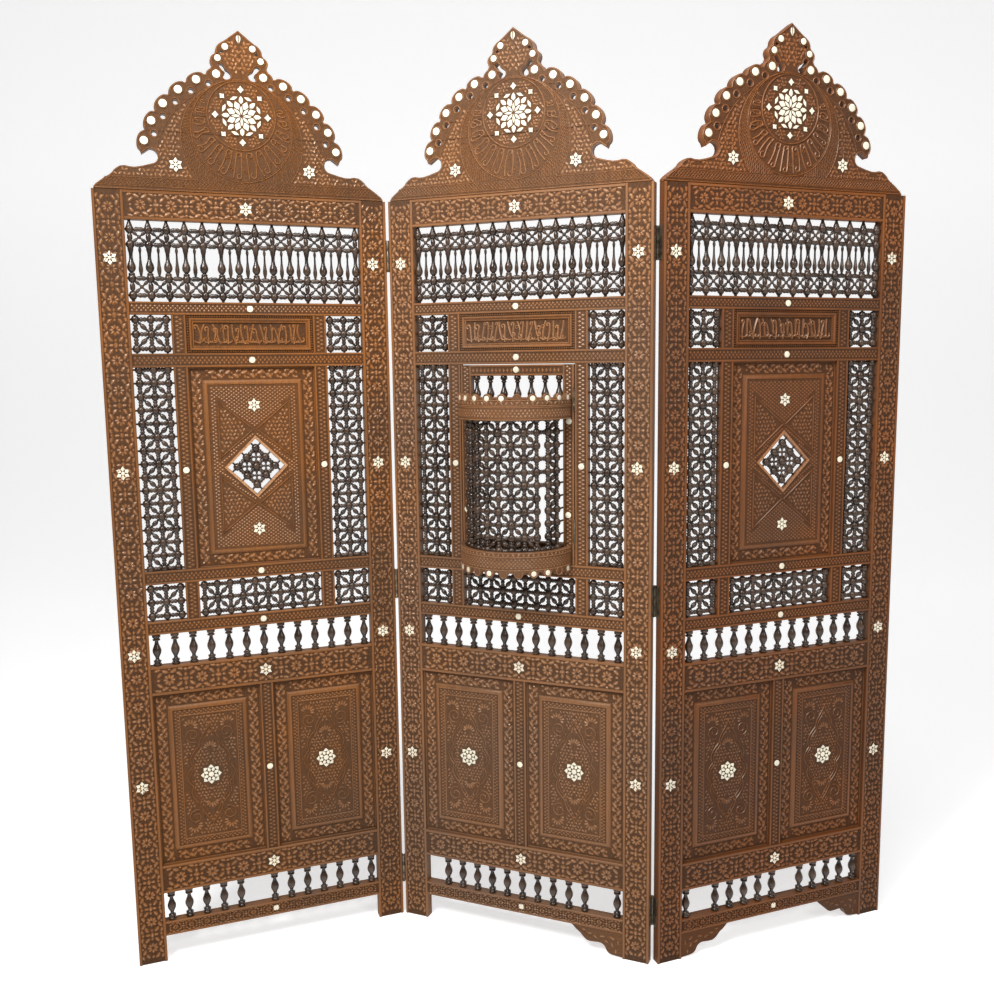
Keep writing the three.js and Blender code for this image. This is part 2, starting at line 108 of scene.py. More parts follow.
paper_shader = paper.node_tree.nodes["Principled BSDF"]
paper_shader.inputs["Base Color"].default_value = (0.8, 0.8, 0.8, 1)
paper_shader.inputs["Roughness"].default_value = 0.95
paper_shader.inputs["Emission Color"].default_value = (1, 1, 1, 1)
paper_shader.inputs["Emission Strength"].default_value = 0.5
sweep_mesh.materials.append(paper)

# ------------------------------------------------------------------ stiles
# Six upright posts of walnut, full height, mortised for every rail. The front has plain raised edges
# round a sunk field of leaves cut in low relief, and each leaf pair is hinged along its stiles.

LEAF_YAW = {"left": 20.6, "middle": -21.9, "right": 20.8}  # turn of each leaf about the vertical
LEAF_WIDTH = 610
MID = LEAF_WIDTH / 2
EDGE = 5  # plain raised edge of a carved member
SUNK = 1.6  # depth of the carved ground
CORNER = 0.9  # worn corners
hinge_place = {j["name"]: np.array(j["pos_m"][:2]) * 1000 for j in frame["joints"]}
HINGE_IN_LEAF = {  # the hinge axis that holds each leaf, in that leaf's own frame
    "left": ("left_fold", (612.2, -2.5)),
    "middle": ("left_fold", (-2.2, -2.5)),
    "right": ("right_fold", (-2.2, 24.5)),
}


def stand(leaf):
    """Turn and origin of a leaf: its origin is its hinge axis as it stands, less the same axis turned."""
    a = math.radians(LEAF_YAW[leaf])
    turn = np.array([[math.cos(a), -math.sin(a)], [math.sin(a), math.cos(a)]])
    joint, own = HINGE_IN_LEAF[leaf]
    return turn, hinge_place[joint] - turn @ np.array(own)


def span(node):
    """Lowest and highest x, y and z of a CAD node in its own leaf's frame, in millimetres."""
    turn, origin = stand(node.split("_")[0] if not node.startswith("window") else "middle")
    mesh = frame["nodes"][node].data
    points = np.zeros(len(mesh.vertices) * 3, np.float32)
    mesh.vertices.foreach_get("co", points)
    points = points.reshape(-1, 3) * 1000.0
    points[:, :2] = (points[:, :2] - origin) @ turn
    return points.min(0), points.max(0)


def room_of(node):
    """Left, right, foot and top of a CAD node in its leaf's frame, and the middle between them."""
    (x0, _, z0), (x1, _, z1) = span(node)
    return (x0, x1, z0, z1), ((x0 + x1) / 2, 0, (z0 + z1) / 2)


def part(points, faces, cut, grain="z"):
    """One closed piece of work: its points, its faces by number of corners, how deep each point lies in the
    carving (0 worn and high, 1 deep) and the way its grain runs."""
    points = np.asarray(points, float)
    along = {"z": (0, 1, 2), "x": (2, 1, 0)}[grain]
    cut = np.broadcast_to(np.asarray(cut, float), (len(points),))
    return {"points": points, "faces": faces, "cut": cut, "grain": points[:, along]}


def joined(parts):
    """Several parts as one: points in a row, and corner numbers moved up by the points before them."""
    counts = np.cumsum([0] + [len(p["points"]) for p in parts])
    faces = [f + start for p, start in zip(parts, counts) for f in p["faces"]]
    merged = {key: np.concatenate([p[key] for p in parts]) for key in ("points", "cut", "grain")}
    return merged | {"faces": faces}


def moved(p, shift):
    """A part moved by shift."""
    return p | {"points": p["points"] + np.array(shift, float)}


def copies(faces, size, count):
    """The faces of a piece with size points, written out for count such pieces one after the other."""
    shift = (np.arange(count) * size)[:, None, None]
    return [(f[None] + shift).reshape(-1, f.shape[1]) for f in faces]


def between(n, low, high):
    """The ring of four-cornered faces between two closed rows of n points, which start at low and high."""
    k = np.arange(n)
    after = (k + 1) % n
    return np.column_stack([k + low, after + low, after + high, k + high])


def made(name, parts, leaf, material, slot_name, body=None, nodes=(), soft_angle=32):
    """A Blender piece of the parts, turned and shifted from its leaf to the row, millimetres to metres."""
    whole = joined(parts)
    turn, origin = stand(leaf)
    points = whole["points"].copy()
    points[:, :2] = points[:, :2] @ turn.T + origin
    mesh = bpy.data.meshes.new(name)
    mesh.vertices.add(len(points))
    mesh.vertices.foreach_set("co", (points / 1000).astype(np.float32).ravel())
    sizes = np.concatenate([np.full(len(f), f.shape[1]) for f in whole["faces"]])
    corners = np.concatenate([f.ravel() for f in whole["faces"]])
    mesh.loops.add(len(corners))
    mesh.loops.foreach_set("vertex_index", corners.astype(np.int32))
    mesh.polygons.add(len(sizes))
    mesh.polygons.foreach_set("loop_start", (np.cumsum(sizes) - sizes).astype(np.int32))
    mesh.update(calc_edges=True)
    depth = mesh.attributes.new("cut", "FLOAT", "POINT")
    depth.data.foreach_set("value", whole["cut"].astype(np.float32))
    run = mesh.attributes.new("grain", "FLOAT_VECTOR", "POINT")
    offset = (sum(map(ord, name)) % 97) * 0.37
    run.data.foreach_set("vector", (whole["grain"] / 1000 + offset).astype(np.float32).ravel())
    mesh.set_sharp_from_angle(angle=math.radians(soft_angle))
    mesh.materials.append(material)
    piece = bpy.data.objects.new(name, mesh)
    bpy.context.scene.collection.objects.link(piece)
    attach(piece, body or f"{leaf}_leaf")
    if nodes:
        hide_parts(*nodes)
    return piece


def prism(section, start, end, axis, cuts):
    """A straight piece: a closed outline carried from start to end. Along z the outline is in x and y;
    along x it is in y and z. Its corners run anticlockwise seen from the far end."""
    section = np.asarray(section, float)
    n = len(section)
    ends = [np.column_stack([section, np.full(n, at)]) for at in (start, end)]
    points = np.concatenate(ends)
    if axis == "x":
        points = points[:, (2, 0, 1)]
    k = np.arange(n)
    caps = np.array([k[::-1], k + n])
    return part(points, [between(n, 0, n), caps], np.tile(cuts, 2), axis)


def carved_section(width, front, thick, edge=EDGE, sunk=SUNK):
    """Section of a carved member, across and back: worn corners, plain edges, and the sunk field between."""
    c, slope = CORNER, 1.2
    across = [0, c, edge, edge + slope, width - edge - slope, width - edge, width - c, width, width, 0]
    back = [c, 0, 0, sunk, sunk, 0, 0, c, thick, thick]
    cuts = [0.5, 0.3, 0.45, 0.85, 0.85, 0.45, 0.3, 0.5, 0.6, 0.6]
    return np.column_stack([across, np.array(back) + front]), cuts


# a leaf's outline, across and along, and then the two ends of its sharp back
ALMOND = np.array([
    [0, -1.1], [1.2, -0.4], [1.2, 0.4], [0, 1.1], [-1.2, 0.4], [-1.2, -0.4], [0, -0.5], [0, 0.45],
])
ALMOND_FACES = [
    np.array([[0, 1, 6], [5, 0, 6], [2, 3, 7], [3, 4, 7]]),
    np.array([[1, 2, 7, 6], [4, 5, 6, 7]]),
    np.array([[5, 4, 3, 2, 1, 0]]),
]
SEAT = 0.3  # how far raised carving is let into its ground


def leaves(cuts, height):
    """Raised almond leaves. Each row of cuts is x, z, lean from upright in degrees, length, width and bend.
    The leaf's own outline is scaled, the bend adds a parabola, and the lean turns it into x and z."""
    cuts = np.asarray(cuts, float)
    n = len(cuts)
    x, z, lean, length, width, bend = cuts.T
    lean = np.radians(lean)
    across = ALMOND[None, :, 0] * width[:, None] / 2 + bend[:, None] * (ALMOND[None, :, 1] ** 2 - 0.35)
    along = ALMOND[None, :, 1] * length[:, None] / 2
    sin, cos = np.sin(lean)[:, None], np.cos(lean)[:, None]
    rise = np.where(np.arange(8) >= 6, height, -SEAT)
    points = np.stack([
        x[:, None] + across * cos + along * sin,
        np.broadcast_to(rise, across.shape),
        z[:, None] - across * sin + along * cos,
    ], -1).reshape(-1, 3)
    cut = np.tile(np.where(np.arange(8) >= 6, 0.0, 0.75), n)
    return part(points, copies(ALMOND_FACES, 8, n), cut)


def notches(places, across, along, height, lean=0):
    """Small raised lozenges, one at each x and z: four base corners and a peak."""
    places = np.asarray(places, float)
    n = len(places)
    a = math.radians(lean)
    base = np.array([[0, -along / 2], [across / 2, 0], [0, along / 2], [-across / 2, 0], [0, 0]])
    turned = base @ np.array([[math.cos(a), -math.sin(a)], [math.sin(a), math.cos(a)]])
    rise = np.array([-SEAT, -SEAT, -SEAT, -SEAT, height])
    points = np.concatenate([
        (places[:, None, :1] + turned[None, :, :1]),
        np.broadcast_to(rise[None, :, None], (n, 5, 1)),
        (places[:, None, 1:] + turned[None, :, 1:]),
    ], -1).reshape(-1, 3)
    tips = np.array([[0, 1, 4], [1, 2, 4], [2, 3, 4], [3, 0, 4]])
    base_face = np.array([[3, 2, 1, 0]])
    return part(points, copies((tips, base_face), 5, n), np.tile([0.7, 0.7, 0.7, 0.7, 0.0], n))


def on_face(p, front, grain="z"):
    """Carving drawn in x, rise and z, laid on a flat ground at depth front: depth is front less rise."""
    points = p["points"].copy()
    points[:, 1] = front - points[:, 1]
    return part(points, p["faces"], p["cut"], grain)


def mirrored(cuts):
    """Leaves drawn on the right half, and their mirror images on the left."""
    cuts = np.asarray(cuts, float)
    return np.concatenate([cuts, cuts * (-1, 1, -1, 1, 1, -1)])


# one period of the flower and leaf pattern, drawn about its middle: across, along, lean, length, width, bend
MOTIF_PERIOD = 62
PETALS = 8
flower = [
    (7.2 * math.sin(a), 7.2 * math.cos(a), math.degrees(a), 9.5, 4.2, 0)
    for a in np.arange(PETALS) * 2 * math.pi / PETALS
]
MOTIF = np.concatenate([
    np.array(flower),
    [[0, 31, 0, 13, 5.5, 0], [0, 20.5, 0, 7, 4, 0], [0, -20.5, 0, 7, 4, 0]],
    mirrored([
        [17.5, 8.5, 28, 15, 5.2, 1.6],
        [17.5, -8.5, -28, 15, 5.2, 1.6],
        [10.5, 18.5, -38, 14, 4.8, -1.2],
        [10.5, -18.5, 38, 14, 4.8, -1.2],
        [21, 21.5, -14, 12, 4.4, -1],
        [21, -21.5, 14, 12, 4.4, -1],
        [9, 31, 90, 9.5, 4.4, 0],
        [19.5, 31, 0, 8, 4.2, 0.6],
        [21.5, 0, 0, 6, 3.6, 0],
    ]),
]) * (1, 1, 1, 1.08, 1.45, 1)


def band(motif, period, start, end, scale, seed):
    """A pattern repeated along a band, a whole number of times from start to end, with a hand's small slips:
    each place, lean and length is off by a random amount."""
    count = max(1, round((end - start) / (period * scale)))
    stretch = (end - start) / (count * period)
    rows = np.tile(motif, (count, 1)).astype(float)
    middles = np.repeat((np.arange(count) + 0.5) * period, len(motif))
    rows[:, 0] *= scale
    rows[:, 1] = start + (rows[:, 1] + middles) * stretch
    rows[:, 3:] *= scale
    slips = np.random.default_rng(seed).normal(0, 1, (len(rows), 4))
    rows[:, 0] += slips[:, 0] * 0.25
    rows[:, 1] += slips[:, 1] * 0.3
    rows[:, 2] += slips[:, 2] * 5
    rows[:, 3] *= 1 + slips[:, 3] * 0.06
    return rows[(rows[:, 1] > start + 2) & (rows[:, 1] < end - 2)]


def across_band(cuts):
    """A band drawn upright, turned to run along x: across and along change places, leans turn a quarter."""
    turned = cuts[:, (1, 0, 2, 3, 4, 5)].copy()
    turned[:, 2] = 90 - turned[:, 2]
    turned[:, 5] *= -1
    return turned


def chain(tree, kind, inputs=(), **settings):
    """A shader node with its settings and the values or sockets of its named inputs."""
    made_node = tree.nodes.new(kind)
    for key, value in settings.items():
        setattr(made_node, key, value)
    for key, value in dict(inputs).items():
        if isinstance(value, bpy.types.NodeSocket):
            tree.links.new(value, made_node.inputs[key])
        else:
            made_node.inputs[key].default_value = value
    return made_node


def blended(tree, share, first, second, kind="MIX"):
    """The colour socket of a mix of two colours by a share."""
    mix = chain(tree, "ShaderNodeMix", data_type="RGBA", blend_type=kind)
    for index, value in ((0, share), (6, first), (7, second)):
        if isinstance(value, bpy.types.NodeSocket):
            tree.links.new(value, mix.inputs[index])
        else:
            mix.inputs[index].default_value = value
    return mix.outputs[2]


def ramp(tree, source, stops):
    """A colour ramp over a value: pairs of place and colour."""
    node = chain(tree, "ShaderNodeValToRGB", {"Fac": source})
    while len(node.color_ramp.elements) < len(stops):
        node.color_ramp.elements.new(0.5)
    for element, (at, colour) in zip(node.color_ramp.elements, stops):
        element.position = at
        element.color = (*colour, 1)
    return node.outputs["Color"]


def ranged(tree, value, low, high, to_low, to_high):
    """A value carried from one range to another and kept inside it."""
    values = {"Value": value, "From Min": low, "From Max": high, "To Min": to_low, "To Max": to_high}
    return chain(tree, "ShaderNodeMapRange", values).outputs["Result"]


def finish(name):
    """A new material: itself, its node tree, its shader and the place on the object."""
    material = bpy.data.materials.new(name)
    material.use_nodes = True
    tree = material.node_tree
    place = chain(tree, "ShaderNodeTexCoord").outputs["Object"]
    return material, tree, tree.nodes["Principled BSDF"], place


def carved_depth(tree):
    """How deep each point lies in the carving: 0 worn and high, 1 deep."""
    return chain(tree, "ShaderNodeAttribute", attribute_name="cut").outputs["Fac"]


def noise(tree, place, scale, detail):
    """A value that wanders from place to place, finer with a larger scale."""
    values = {"Vector": place, "Scale": scale, "Detail": detail}
    return chain(tree, "ShaderNodeTexNoise", values).outputs["Fac"]


def wood(name, worn, plain, warm, deep, dusty, gloss):
    """Carved walnut. The depth of the carving picks worn, plain or deep colour: worn on the high ridges is
    wear with a painted highlight, deep in the sunk ground is patina with painted shade. Broad patches lean to
    the warm tone. Streaks run with the grain, the foot is greyer with dust, and the polish is uneven."""
    material, tree, shader, place = finish(name)
    cut = carved_depth(tree)
    grain = chain(tree, "ShaderNodeAttribute", attribute_name="grain").outputs["Vector"]
    stretched = chain(tree, "ShaderNodeMapping", {"Vector": grain, "Scale": (210, 210, 7)}).outputs["Vector"]
    streak = noise(tree, stretched, 1, 5)
    patch = noise(tree, place, 3.2, 3)
    fleck = noise(tree, place, 320, 2)
    height = chain(tree, "ShaderNodeSeparateXYZ", {"Vector": place}).outputs["Z"]

    warmth = ranged(tree, patch, 0.38, 0.62, 0, 1)
    body = blended(tree, warmth, (*plain, 1), (*warm, 1))
    shade = ramp(tree, streak, [(0.25, (0.62, 0.6, 0.58)), (0.6, (1, 1, 1))])
    body = blended(tree, 0.8, body, shade, "MULTIPLY")
    wobble = chain(tree, "ShaderNodeMath", operation="MULTIPLY_ADD")
    tree.links.new(fleck, wobble.inputs[0])
    wobble.inputs[1].default_value = 0.5
    tree.links.new(ranged(tree, cut, 0, 1, -0.25, 0.75), wobble.inputs[2])
    level = wobble.outputs[0]
    # painted highlight: where the carving is high, the worn colour stands for wear and for a painted glint on
    # the ridges
    high = ranged(tree, level, -0.12, 0.16, 1, 0)
    # painted shade: where the carving is deep, the deep colour stands for patina and for painted shade in the
    # sunk ground
    low = ranged(tree, level, 0.4, 0.95, 0, 1)
    body = blended(tree, high, body, (*worn, 1))
    body = blended(tree, low, body, (*deep, 1))
    dust = ranged(tree, height, 0.1, 1.0, 0.42, 0.0)
    body = blended(tree, dust, body, blended(tree, 1.0, body, (*dusty, 1), "MULTIPLY"))
    tree.links.new(body, shader.inputs["Base Color"])
    uneven = ranged(tree, patch, 0.3, 0.7, 0, 0.16)
    polish = chain(tree, "ShaderNodeMath", {0: uneven}, operation="ADD")
    tree.links.new(ranged(tree, cut, 0.3, 0.8, gloss, 0.8), polish.inputs[1])
    tree.links.new(polish.outputs[0], shader.inputs["Roughness"])
    bump = chain(tree, "ShaderNodeBump", {"Height": streak, "Strength": 0.25, "Distance": 0.0006})
    tree.links.new(bump.outputs["Normal"], shader.inputs["Normal"])
    shader.inputs["Specular IOR Level"].default_value = 0.42
    shader.inputs["Specular Tint"].default_value = (1, 0.85, 0.68, 1)
    return material


# each leaf's worn colour carries a painted highlight as well as wear, and its deep colour painted shade as
# well as patina
leaf_wood = {
    "left": wood("left_leaf_walnut", (0.52, 0.29, 0.15), (0.155, 0.062, 0.021), (0.24, 0.082, 0.015),
                 (0.034, 0.014, 0.006), (0.62, 0.64, 0.7), 0.24),
    "middle": wood("middle_leaf_walnut", (0.6, 0.37, 0.22), (0.2, 0.095, 0.046), (0.25, 0.102, 0.034),
                   (0.044, 0.02, 0.01), (0.52, 0.53, 0.56), 0.22),
    "right": wood("right_leaf_walnut", (0.4, 0.2, 0.095), (0.125, 0.043, 0.014), (0.19, 0.057, 0.011),
                  (0.024, 0.009, 0.004), (0.5, 0.5, 0.52), 0.26),
}


def carved(name, parts, leaf, nodes, **more):
    """A piece made of its leaf's own walnut."""
    made(name, parts, leaf, leaf_wood[leaf], f"{leaf}_leaf_wood", nodes=nodes, **more)


for leaf in LEAF_YAW:
    for side in ("left", "right"):
        node = f"{leaf}_stile_{side}"
        low, high = span(node)
        width = high[0] - low[0]
        section, cuts = carved_section(width, low[1], high[1] - low[1])
        section[:, 0] += low[0]
        body = prism(section, low[2], high[2], "z", cuts)
        cuts = band(MOTIF, MOTIF_PERIOD, low[2] + 6, high[2] - 4, 1, len(node) + ord(leaf[0]))
        carving = on_face(leaves(cuts, SUNK + 0.2), low[1] + SUNK)
        carving = moved(carving, ((low[0] + high[0]) / 2, 0, 0))
        carved(f"{leaf}_leaf_{side}_stile", [body, carving], leaf, [node])

# ------------------------------------------------------------------ wide rails and dado rails
# The top rail and the two rails of the dado are tenoned between the stiles and carved with the same
# flowers and leaves, laid on their side. The bottom rail carries the same work at half the size.

LOWER_RAIL = (162, 226)
UPPER_RAIL = (622, 687)
DADO_MIDDLE = (LOWER_RAIL[1] + UPPER_RAIL[0]) // 2
BOTTOM_RAIL = (60, 93)
RAIL_THICK = 22
inner_left = span("left_stile_left")[1][0]
inner_right = LEAF_WIDTH - inner_left


def carved_rail(z0, z1, seed):
    """A rail between the stiles: the stile's section turned to run along x, with the leaf band across it."""
    section, cuts = carved_section(z1 - z0, 0, RAIL_THICK, EDGE if z1 - z0 > 50 else 4)
    outline = np.column_stack([section[:, 1], z1 - section[:, 0]])
    body = prism(outline, inner_left, inner_right, "x", cuts)
    scale = (z1 - z0) / (inner_left - 2)
    pattern = across_band(band(MOTIF, MOTIF_PERIOD, inner_left + 3, inner_right - 3, scale, seed))
    carving = on_face(leaves(pattern, SUNK), SUNK, "x")
    return [body, moved(carving, (0, 0, (z0 + z1) / 2))]


for leaf in LEAF_YAW:
    low, high = span(f"{leaf}_top_rail")
    carved(f"{leaf}_leaf_top_rail", carved_rail(low[2], high[2], 3), leaf, [f"{leaf}_top_rail"])

# ------------------------------------------------------------------ narrow rails and posts
# The upper part's grid of narrow rails and posts, and the short post of the dado. Each is sunk along
# its middle and filled with rows of small cut lozenges.

NARROW = 29
NARROW_FRONT = 1.5
NARROW_THICK = 18
NARROW_EDGE = 3.4
NARROW_SUNK = 1.1
NARROW_FIELD = NARROW_FRONT + NARROW_SUNK  # depth of the ground that carries the lozenges
NARROW_MARGIN = NARROW_EDGE + 0.8  # from a member's edge to its lozenges
CROSS_RAILS = ((758, 787), (869, 898), (1336.5, 1366), (1447, 1474))
SIDE_OPENING = 81.5
POSTS = (inner_left + SIDE_OPENING, inner_right - SIDE_OPENING - NARROW)
LOZENGE = np.array([13, 9])  # width and height of a cell of the diaper


def diaper(x0, x1, z0, z1, pitch=LOZENGE):
    """Places of a diaper that fills a rectangle, and the size of its cells: two staggered sets of cells."""
    columns = max(1, round(2 * (x1 - x0) / pitch[0]) - 1)
    rows = max(1, (round(2 * (z1 - z0) / pitch[1]) - 1) | 1)
    cell = 2 * np.array([(x1 - x0) / (columns + 1), (z1 - z0) / (rows + 1)])
    i, k = np.meshgrid(np.arange(columns), np.arange(rows))
    keep = (i + k) % 2 == 0
    return np.column_stack([x0 + (i[keep] + 1) * cell[0] / 2, z0 + (k[keep] + 1) * cell[1] / 2]), cell


def lozenges(x0, x1, z0, z1, front, pitch=LOZENGE, height=1.0, grain="z", keep=None):
    """Cut lozenges over a rectangle, on ground at depth front; keep says which places carry one."""
    places, cell = diaper(x0, x1, z0, z1, pitch)
    if keep is not None:
        places = places[keep(places[:, 0], places[:, 1])]
    return on_face(notches(places, *(cell * 0.86), height), front, grain)


def narrow_post(x0, x1, z0, z1):
    """An upright narrow member: carved section and a column of lozenges in its field."""
    section, cuts = carved_section(x1 - x0, NARROW_FRONT, NARROW_THICK, NARROW_EDGE, NARROW_SUNK)
    section[:, 0] += x0
    field = lozenges(x0 + NARROW_MARGIN, x1 - NARROW_MARGIN, z0 + 1, z1 - 1, NARROW_FIELD)
    return [prism(section, z0, z1, "z", cuts), field]


def narrow_rail(z0, z1, x0, x1):
    """The same member laid along x."""
    section, cuts = carved_section(z1 - z0, NARROW_FRONT, NARROW_THICK, NARROW_EDGE, NARROW_SUNK)
    outline = np.column_stack([section[:, 1], z1 - section[:, 0]])
    low, high = z0 + NARROW_MARGIN, z1 - NARROW_MARGIN
    field = lozenges(x0 + 1, x1 - 1, low, high, NARROW_FIELD, LOZENGE[::-1], grain="x")
    return [prism(outline, x0, x1, "x", cuts), field]


for leaf in LEAF_YAW:
    frame_parts = [p for z0, z1 in CROSS_RAILS for p in narrow_rail(z0, z1, inner_left, inner_right)]
    for below, above in zip(CROSS_RAILS[:-1], CROSS_RAILS[1:]):
        for x in POSTS:
            frame_parts += narrow_post(x, x + NARROW, below[1], above[0])
    carved(f"{leaf}_leaf_cross_rails", frame_parts, leaf, [f"{leaf}_cross_frame"])
    dado = carved_rail(*LOWER_RAIL, 5) + carved_rail(*UPPER_RAIL, 7)
    dado += narrow_post(MID - NARROW / 2, MID + NARROW / 2, LOWER_RAIL[1], UPPER_RAIL[0])
    carved(f"{leaf}_leaf_dado_rails", dado, leaf, [f"{leaf}_dado_frame"])

# ------------------------------------------------------------------ bottom rails and brackets
# The bottom rail of each leaf, and the scalloped brackets sawn from board that are glued under it.
# The left leaf has lost both brackets and the middle leaf its left one.

BRACKETS = {"left": (), "middle": ("right",), "right": ("left", "right")}


def rounded(points, rounds=2):
    """A drawn line with its corners cut off, as often as rounds says: each side keeps the points at a quarter
    and three quarters of its length."""
    points = np.asarray(points, float)
    for _ in range(rounds):
        near = points[:-1] * 0.75 + points[1:] * 0.25
        far = points[:-1] * 0.25 + points[1:] * 0.75
        points = np.concatenate([points[:1], np.stack([near, far], 1).reshape(-1, 2), points[-1:]])
    return points


BRACKET = np.concatenate([
    [(inner_left, BOTTOM_RAIL[0])],
    rounded([(inner_left, 2), (90, 4), (98, 11), (102, 22), (112, 28), (131, 26),
             (144, 26), (154, 34), (160, 42), (170, 48), (181, BOTTOM_RAIL[0])]),
])


def nudged(loop, by):
    """A closed line moved to its left by a set distance, square to the way from the point before each point
    to the one after it."""
    way = np.roll(loop, -1, 0) - np.roll(loop, 1, 0)
    way /= np.linalg.norm(way, axis=1)[:, None] + 1e-9
    return loop + np.column_stack([-way[:, 1], way[:, 0]]) * by


def board(outline, front, thick, cut):
    """A board cut to an outline in x and z, anticlockwise from the front, with its front edge worn round."""
    outline = np.asarray(outline, float)
    n = len(outline)
    rings = [(nudged(outline, CORNER), front), (outline, front + CORNER), (outline, front + thick)]
    points = np.concatenate([np.column_stack([o[:, 0], np.full(n, d), o[:, 1]]) for o, d in rings])
    k = np.arange(n)
    strips = np.concatenate([between(n, a, a + n)[:, (0, 3, 2, 1)] for a in (0, n)])
    cuts = np.repeat([cut, 0.3, 0.6], n)
    return part(points, [k[None], strips, k[None, ::-1] + 2 * n], cuts, "x")


# leaves cut on the left bracket: x, z, lean, length, width and bend
SPRIG = np.array([
    [84, 44, 60, 15, 6, 1], [84, 28, 10, 14, 5, -1], [98, 34, 70, 12, 5, -1],
    [108, 44, 100, 15, 5, 1], [124, 40, 60, 13, 5, 1], [138, 46, 100, 14, 5, -1],
    [76, 14, 0, 12, 5, 0], [152, 52, 90, 10, 4, 0], [70, 36, 0, 14, 4, 0],
])

for leaf, sides in BRACKETS.items():
    parts = carved_rail(*BOTTOM_RAIL, 9)
    for side in sides:
        shape, sprig = BRACKET, SPRIG
        if side == "right":
            shape = (shape * (-1, 1) + (LEAF_WIDTH, 0))[::-1]
            sprig = sprig * (-1, 1, -1, 1, 1, -1) + (LEAF_WIDTH, 0, 0, 0, 0, 0)
        parts.append(board(shape, NARROW_FRONT, NARROW_THICK, 0.7))
        parts.append(on_face(leaves(sprig, 1.3), NARROW_FRONT, "x"))
    carved(f"{leaf}_leaf_bottom_rail", parts, leaf, [f"{leaf}_bottom_rail"])

# ------------------------------------------------------------------ balusters
# Two rows of thirteen vase-shaped balusters in each leaf, turned one by one and let into the rails.
# Five are lost from the rows at the foot: one in the left leaf and two in each of the others.

PLANE = 11  # depth of the axis of every turned piece
BALUSTER_PITCH = 38.3
BALUSTERS = 13
LOST_BALUSTERS = {"left": (6,), "middle": (1, 12), "right": (2, 8)}
VASE = np.array([
    (6.8, 0), (8.4, 0.015), (8.6, 0.07), (6.2, 0.09), (6.0, 0.105), (8.2, 0.125), (8.2, 0.165), (4.6, 0.19),
    (3.8, 0.25), (5.6, 0.31), (8.4, 0.39), (9.4, 0.46), (9.0, 0.53), (6.8, 0.61), (4.6, 0.69), (3.7, 0.765),
    (4.4, 0.79), (8.0, 0.81), (8.2, 0.845), (5.6, 0.865), (5.6, 0.88), (8.6, 0.9), (9.0, 0.95), (8.2, 1),
])


def spot(x, z):
    """Points at x and z in the plane of the turned work."""
    return np.column_stack([x, np.full(len(x), PLANE), np.broadcast_to(z, len(x))])


def turning(profile, sides):
    """A turned piece about z: the profile's radius and height carried round, closed by flat ends. The narrow
    places lie deep, where the turned walnut paints shade, and the full ones are worn."""
    profile = np.asarray(profile, float)
    n = len(profile)
    angle = np.arange(sides) * 2 * math.pi / sides
    x = profile[:, :1] * np.cos(angle)
    y = profile[:, :1] * np.sin(angle)
    z = np.repeat(profile[:, 1:], sides, 1)
    rings = np.concatenate([between(sides, j * sides, (j + 1) * sides) for j in range(n - 1)])
    ends = [np.arange(sides)[None, ::-1], np.arange(sides)[None] + (n - 1) * sides]
    cut = np.repeat(1 - (profile[:, 0] / profile[:, 0].max()) ** 2, sides)
    return part(np.stack([x, y, z], -1).reshape(-1, 3), [rings, *ends], cut)


def strung(template, starts, ends):
    """A turned template strung between pairs of points of one upright plane: its length is scaled to reach
    from each start to its end, and it is leant over in that plane."""
    starts, ends = np.asarray(starts, float), np.asarray(ends, float)
    way = ends - starts
    length = np.linalg.norm(way, axis=1)
    sin, cos = way[:, 0] / length, way[:, 2] / length
    own = template["points"]
    n, count = len(own), len(starts)
    along = own[None, :, 2] * length[:, None]
    x = starts[:, None, 0] + own[None, :, 0] * cos[:, None] + along * sin[:, None]
    y = starts[:, None, 1] + own[None, :, 1]
    z = starts[:, None, 2] - own[None, :, 0] * sin[:, None] + along * cos[:, None]
    points = np.stack([x, np.broadcast_to(y, x.shape), z], -1).reshape(-1, 3)
    return part(points, copies(template["faces"], n, count), np.tile(template["cut"], count))


def upright(template, places, height):
    """Turned pieces standing at pairs of x and z in the turned plane, each of one height."""
    starts = spot(*np.asarray(places, float).T)
    return strung(template, starts, starts + (0, 0, height))


def turned_wood(name, worn, plain, deep, gloss):
    """Turned walnut, dark with age and handling: paler in patches that are rubbed, black with painted shade
    in the necks, with fine flecks and a satin polish."""
    material, tree, shader, place = finish(name)
    cut = carved_depth(tree)
    patch = noise(tree, place, 26, 3)
    fleck = noise(tree, place, 420, 2)
    body = blended(tree, ranged(tree, patch, 0.35, 0.65, 0, 1), (*plain, 1), (*worn, 1))
    # painted shade: the necks and narrow ends, deep by the cut attribute, go to the near black deep colour
    body = blended(tree, ranged(tree, cut, 0.35, 0.95, 0, 1), body, (*deep, 1))
    shade = ramp(tree, fleck, [(0.35, (0.55, 0.55, 0.55)), (0.6, (1, 1, 1))])
    body = blended(tree, 0.5, body, shade, "MULTIPLY")
    tree.links.new(body, shader.inputs["Base Color"])
    tree.links.new(ranged(tree, patch, 0.3, 0.7, gloss, gloss + 0.15), shader.inputs["Roughness"])
    bump = chain(tree, "ShaderNodeBump", {"Height": fleck, "Strength": 0.2, "Distance": 0.0005})
    tree.links.new(bump.outputs["Normal"], shader.inputs["Normal"])
    shader.inputs["Specular IOR Level"].default_value = 0.5
    return material


# the last colour is the painted shade of the necks
turned_finish = turned_wood(
    "turned_walnut", (0.066, 0.036, 0.02), (0.025, 0.013, 0.007), (0.005, 0.003, 0.002), 0.18)


def turned(name, parts, leaf, nodes=(), **more):
    """A piece made of the dark turned wood, its round forms shaded smooth."""
    made(name, parts, leaf, turned_finish, "turned_wood", nodes=nodes, soft_angle=60, **more)


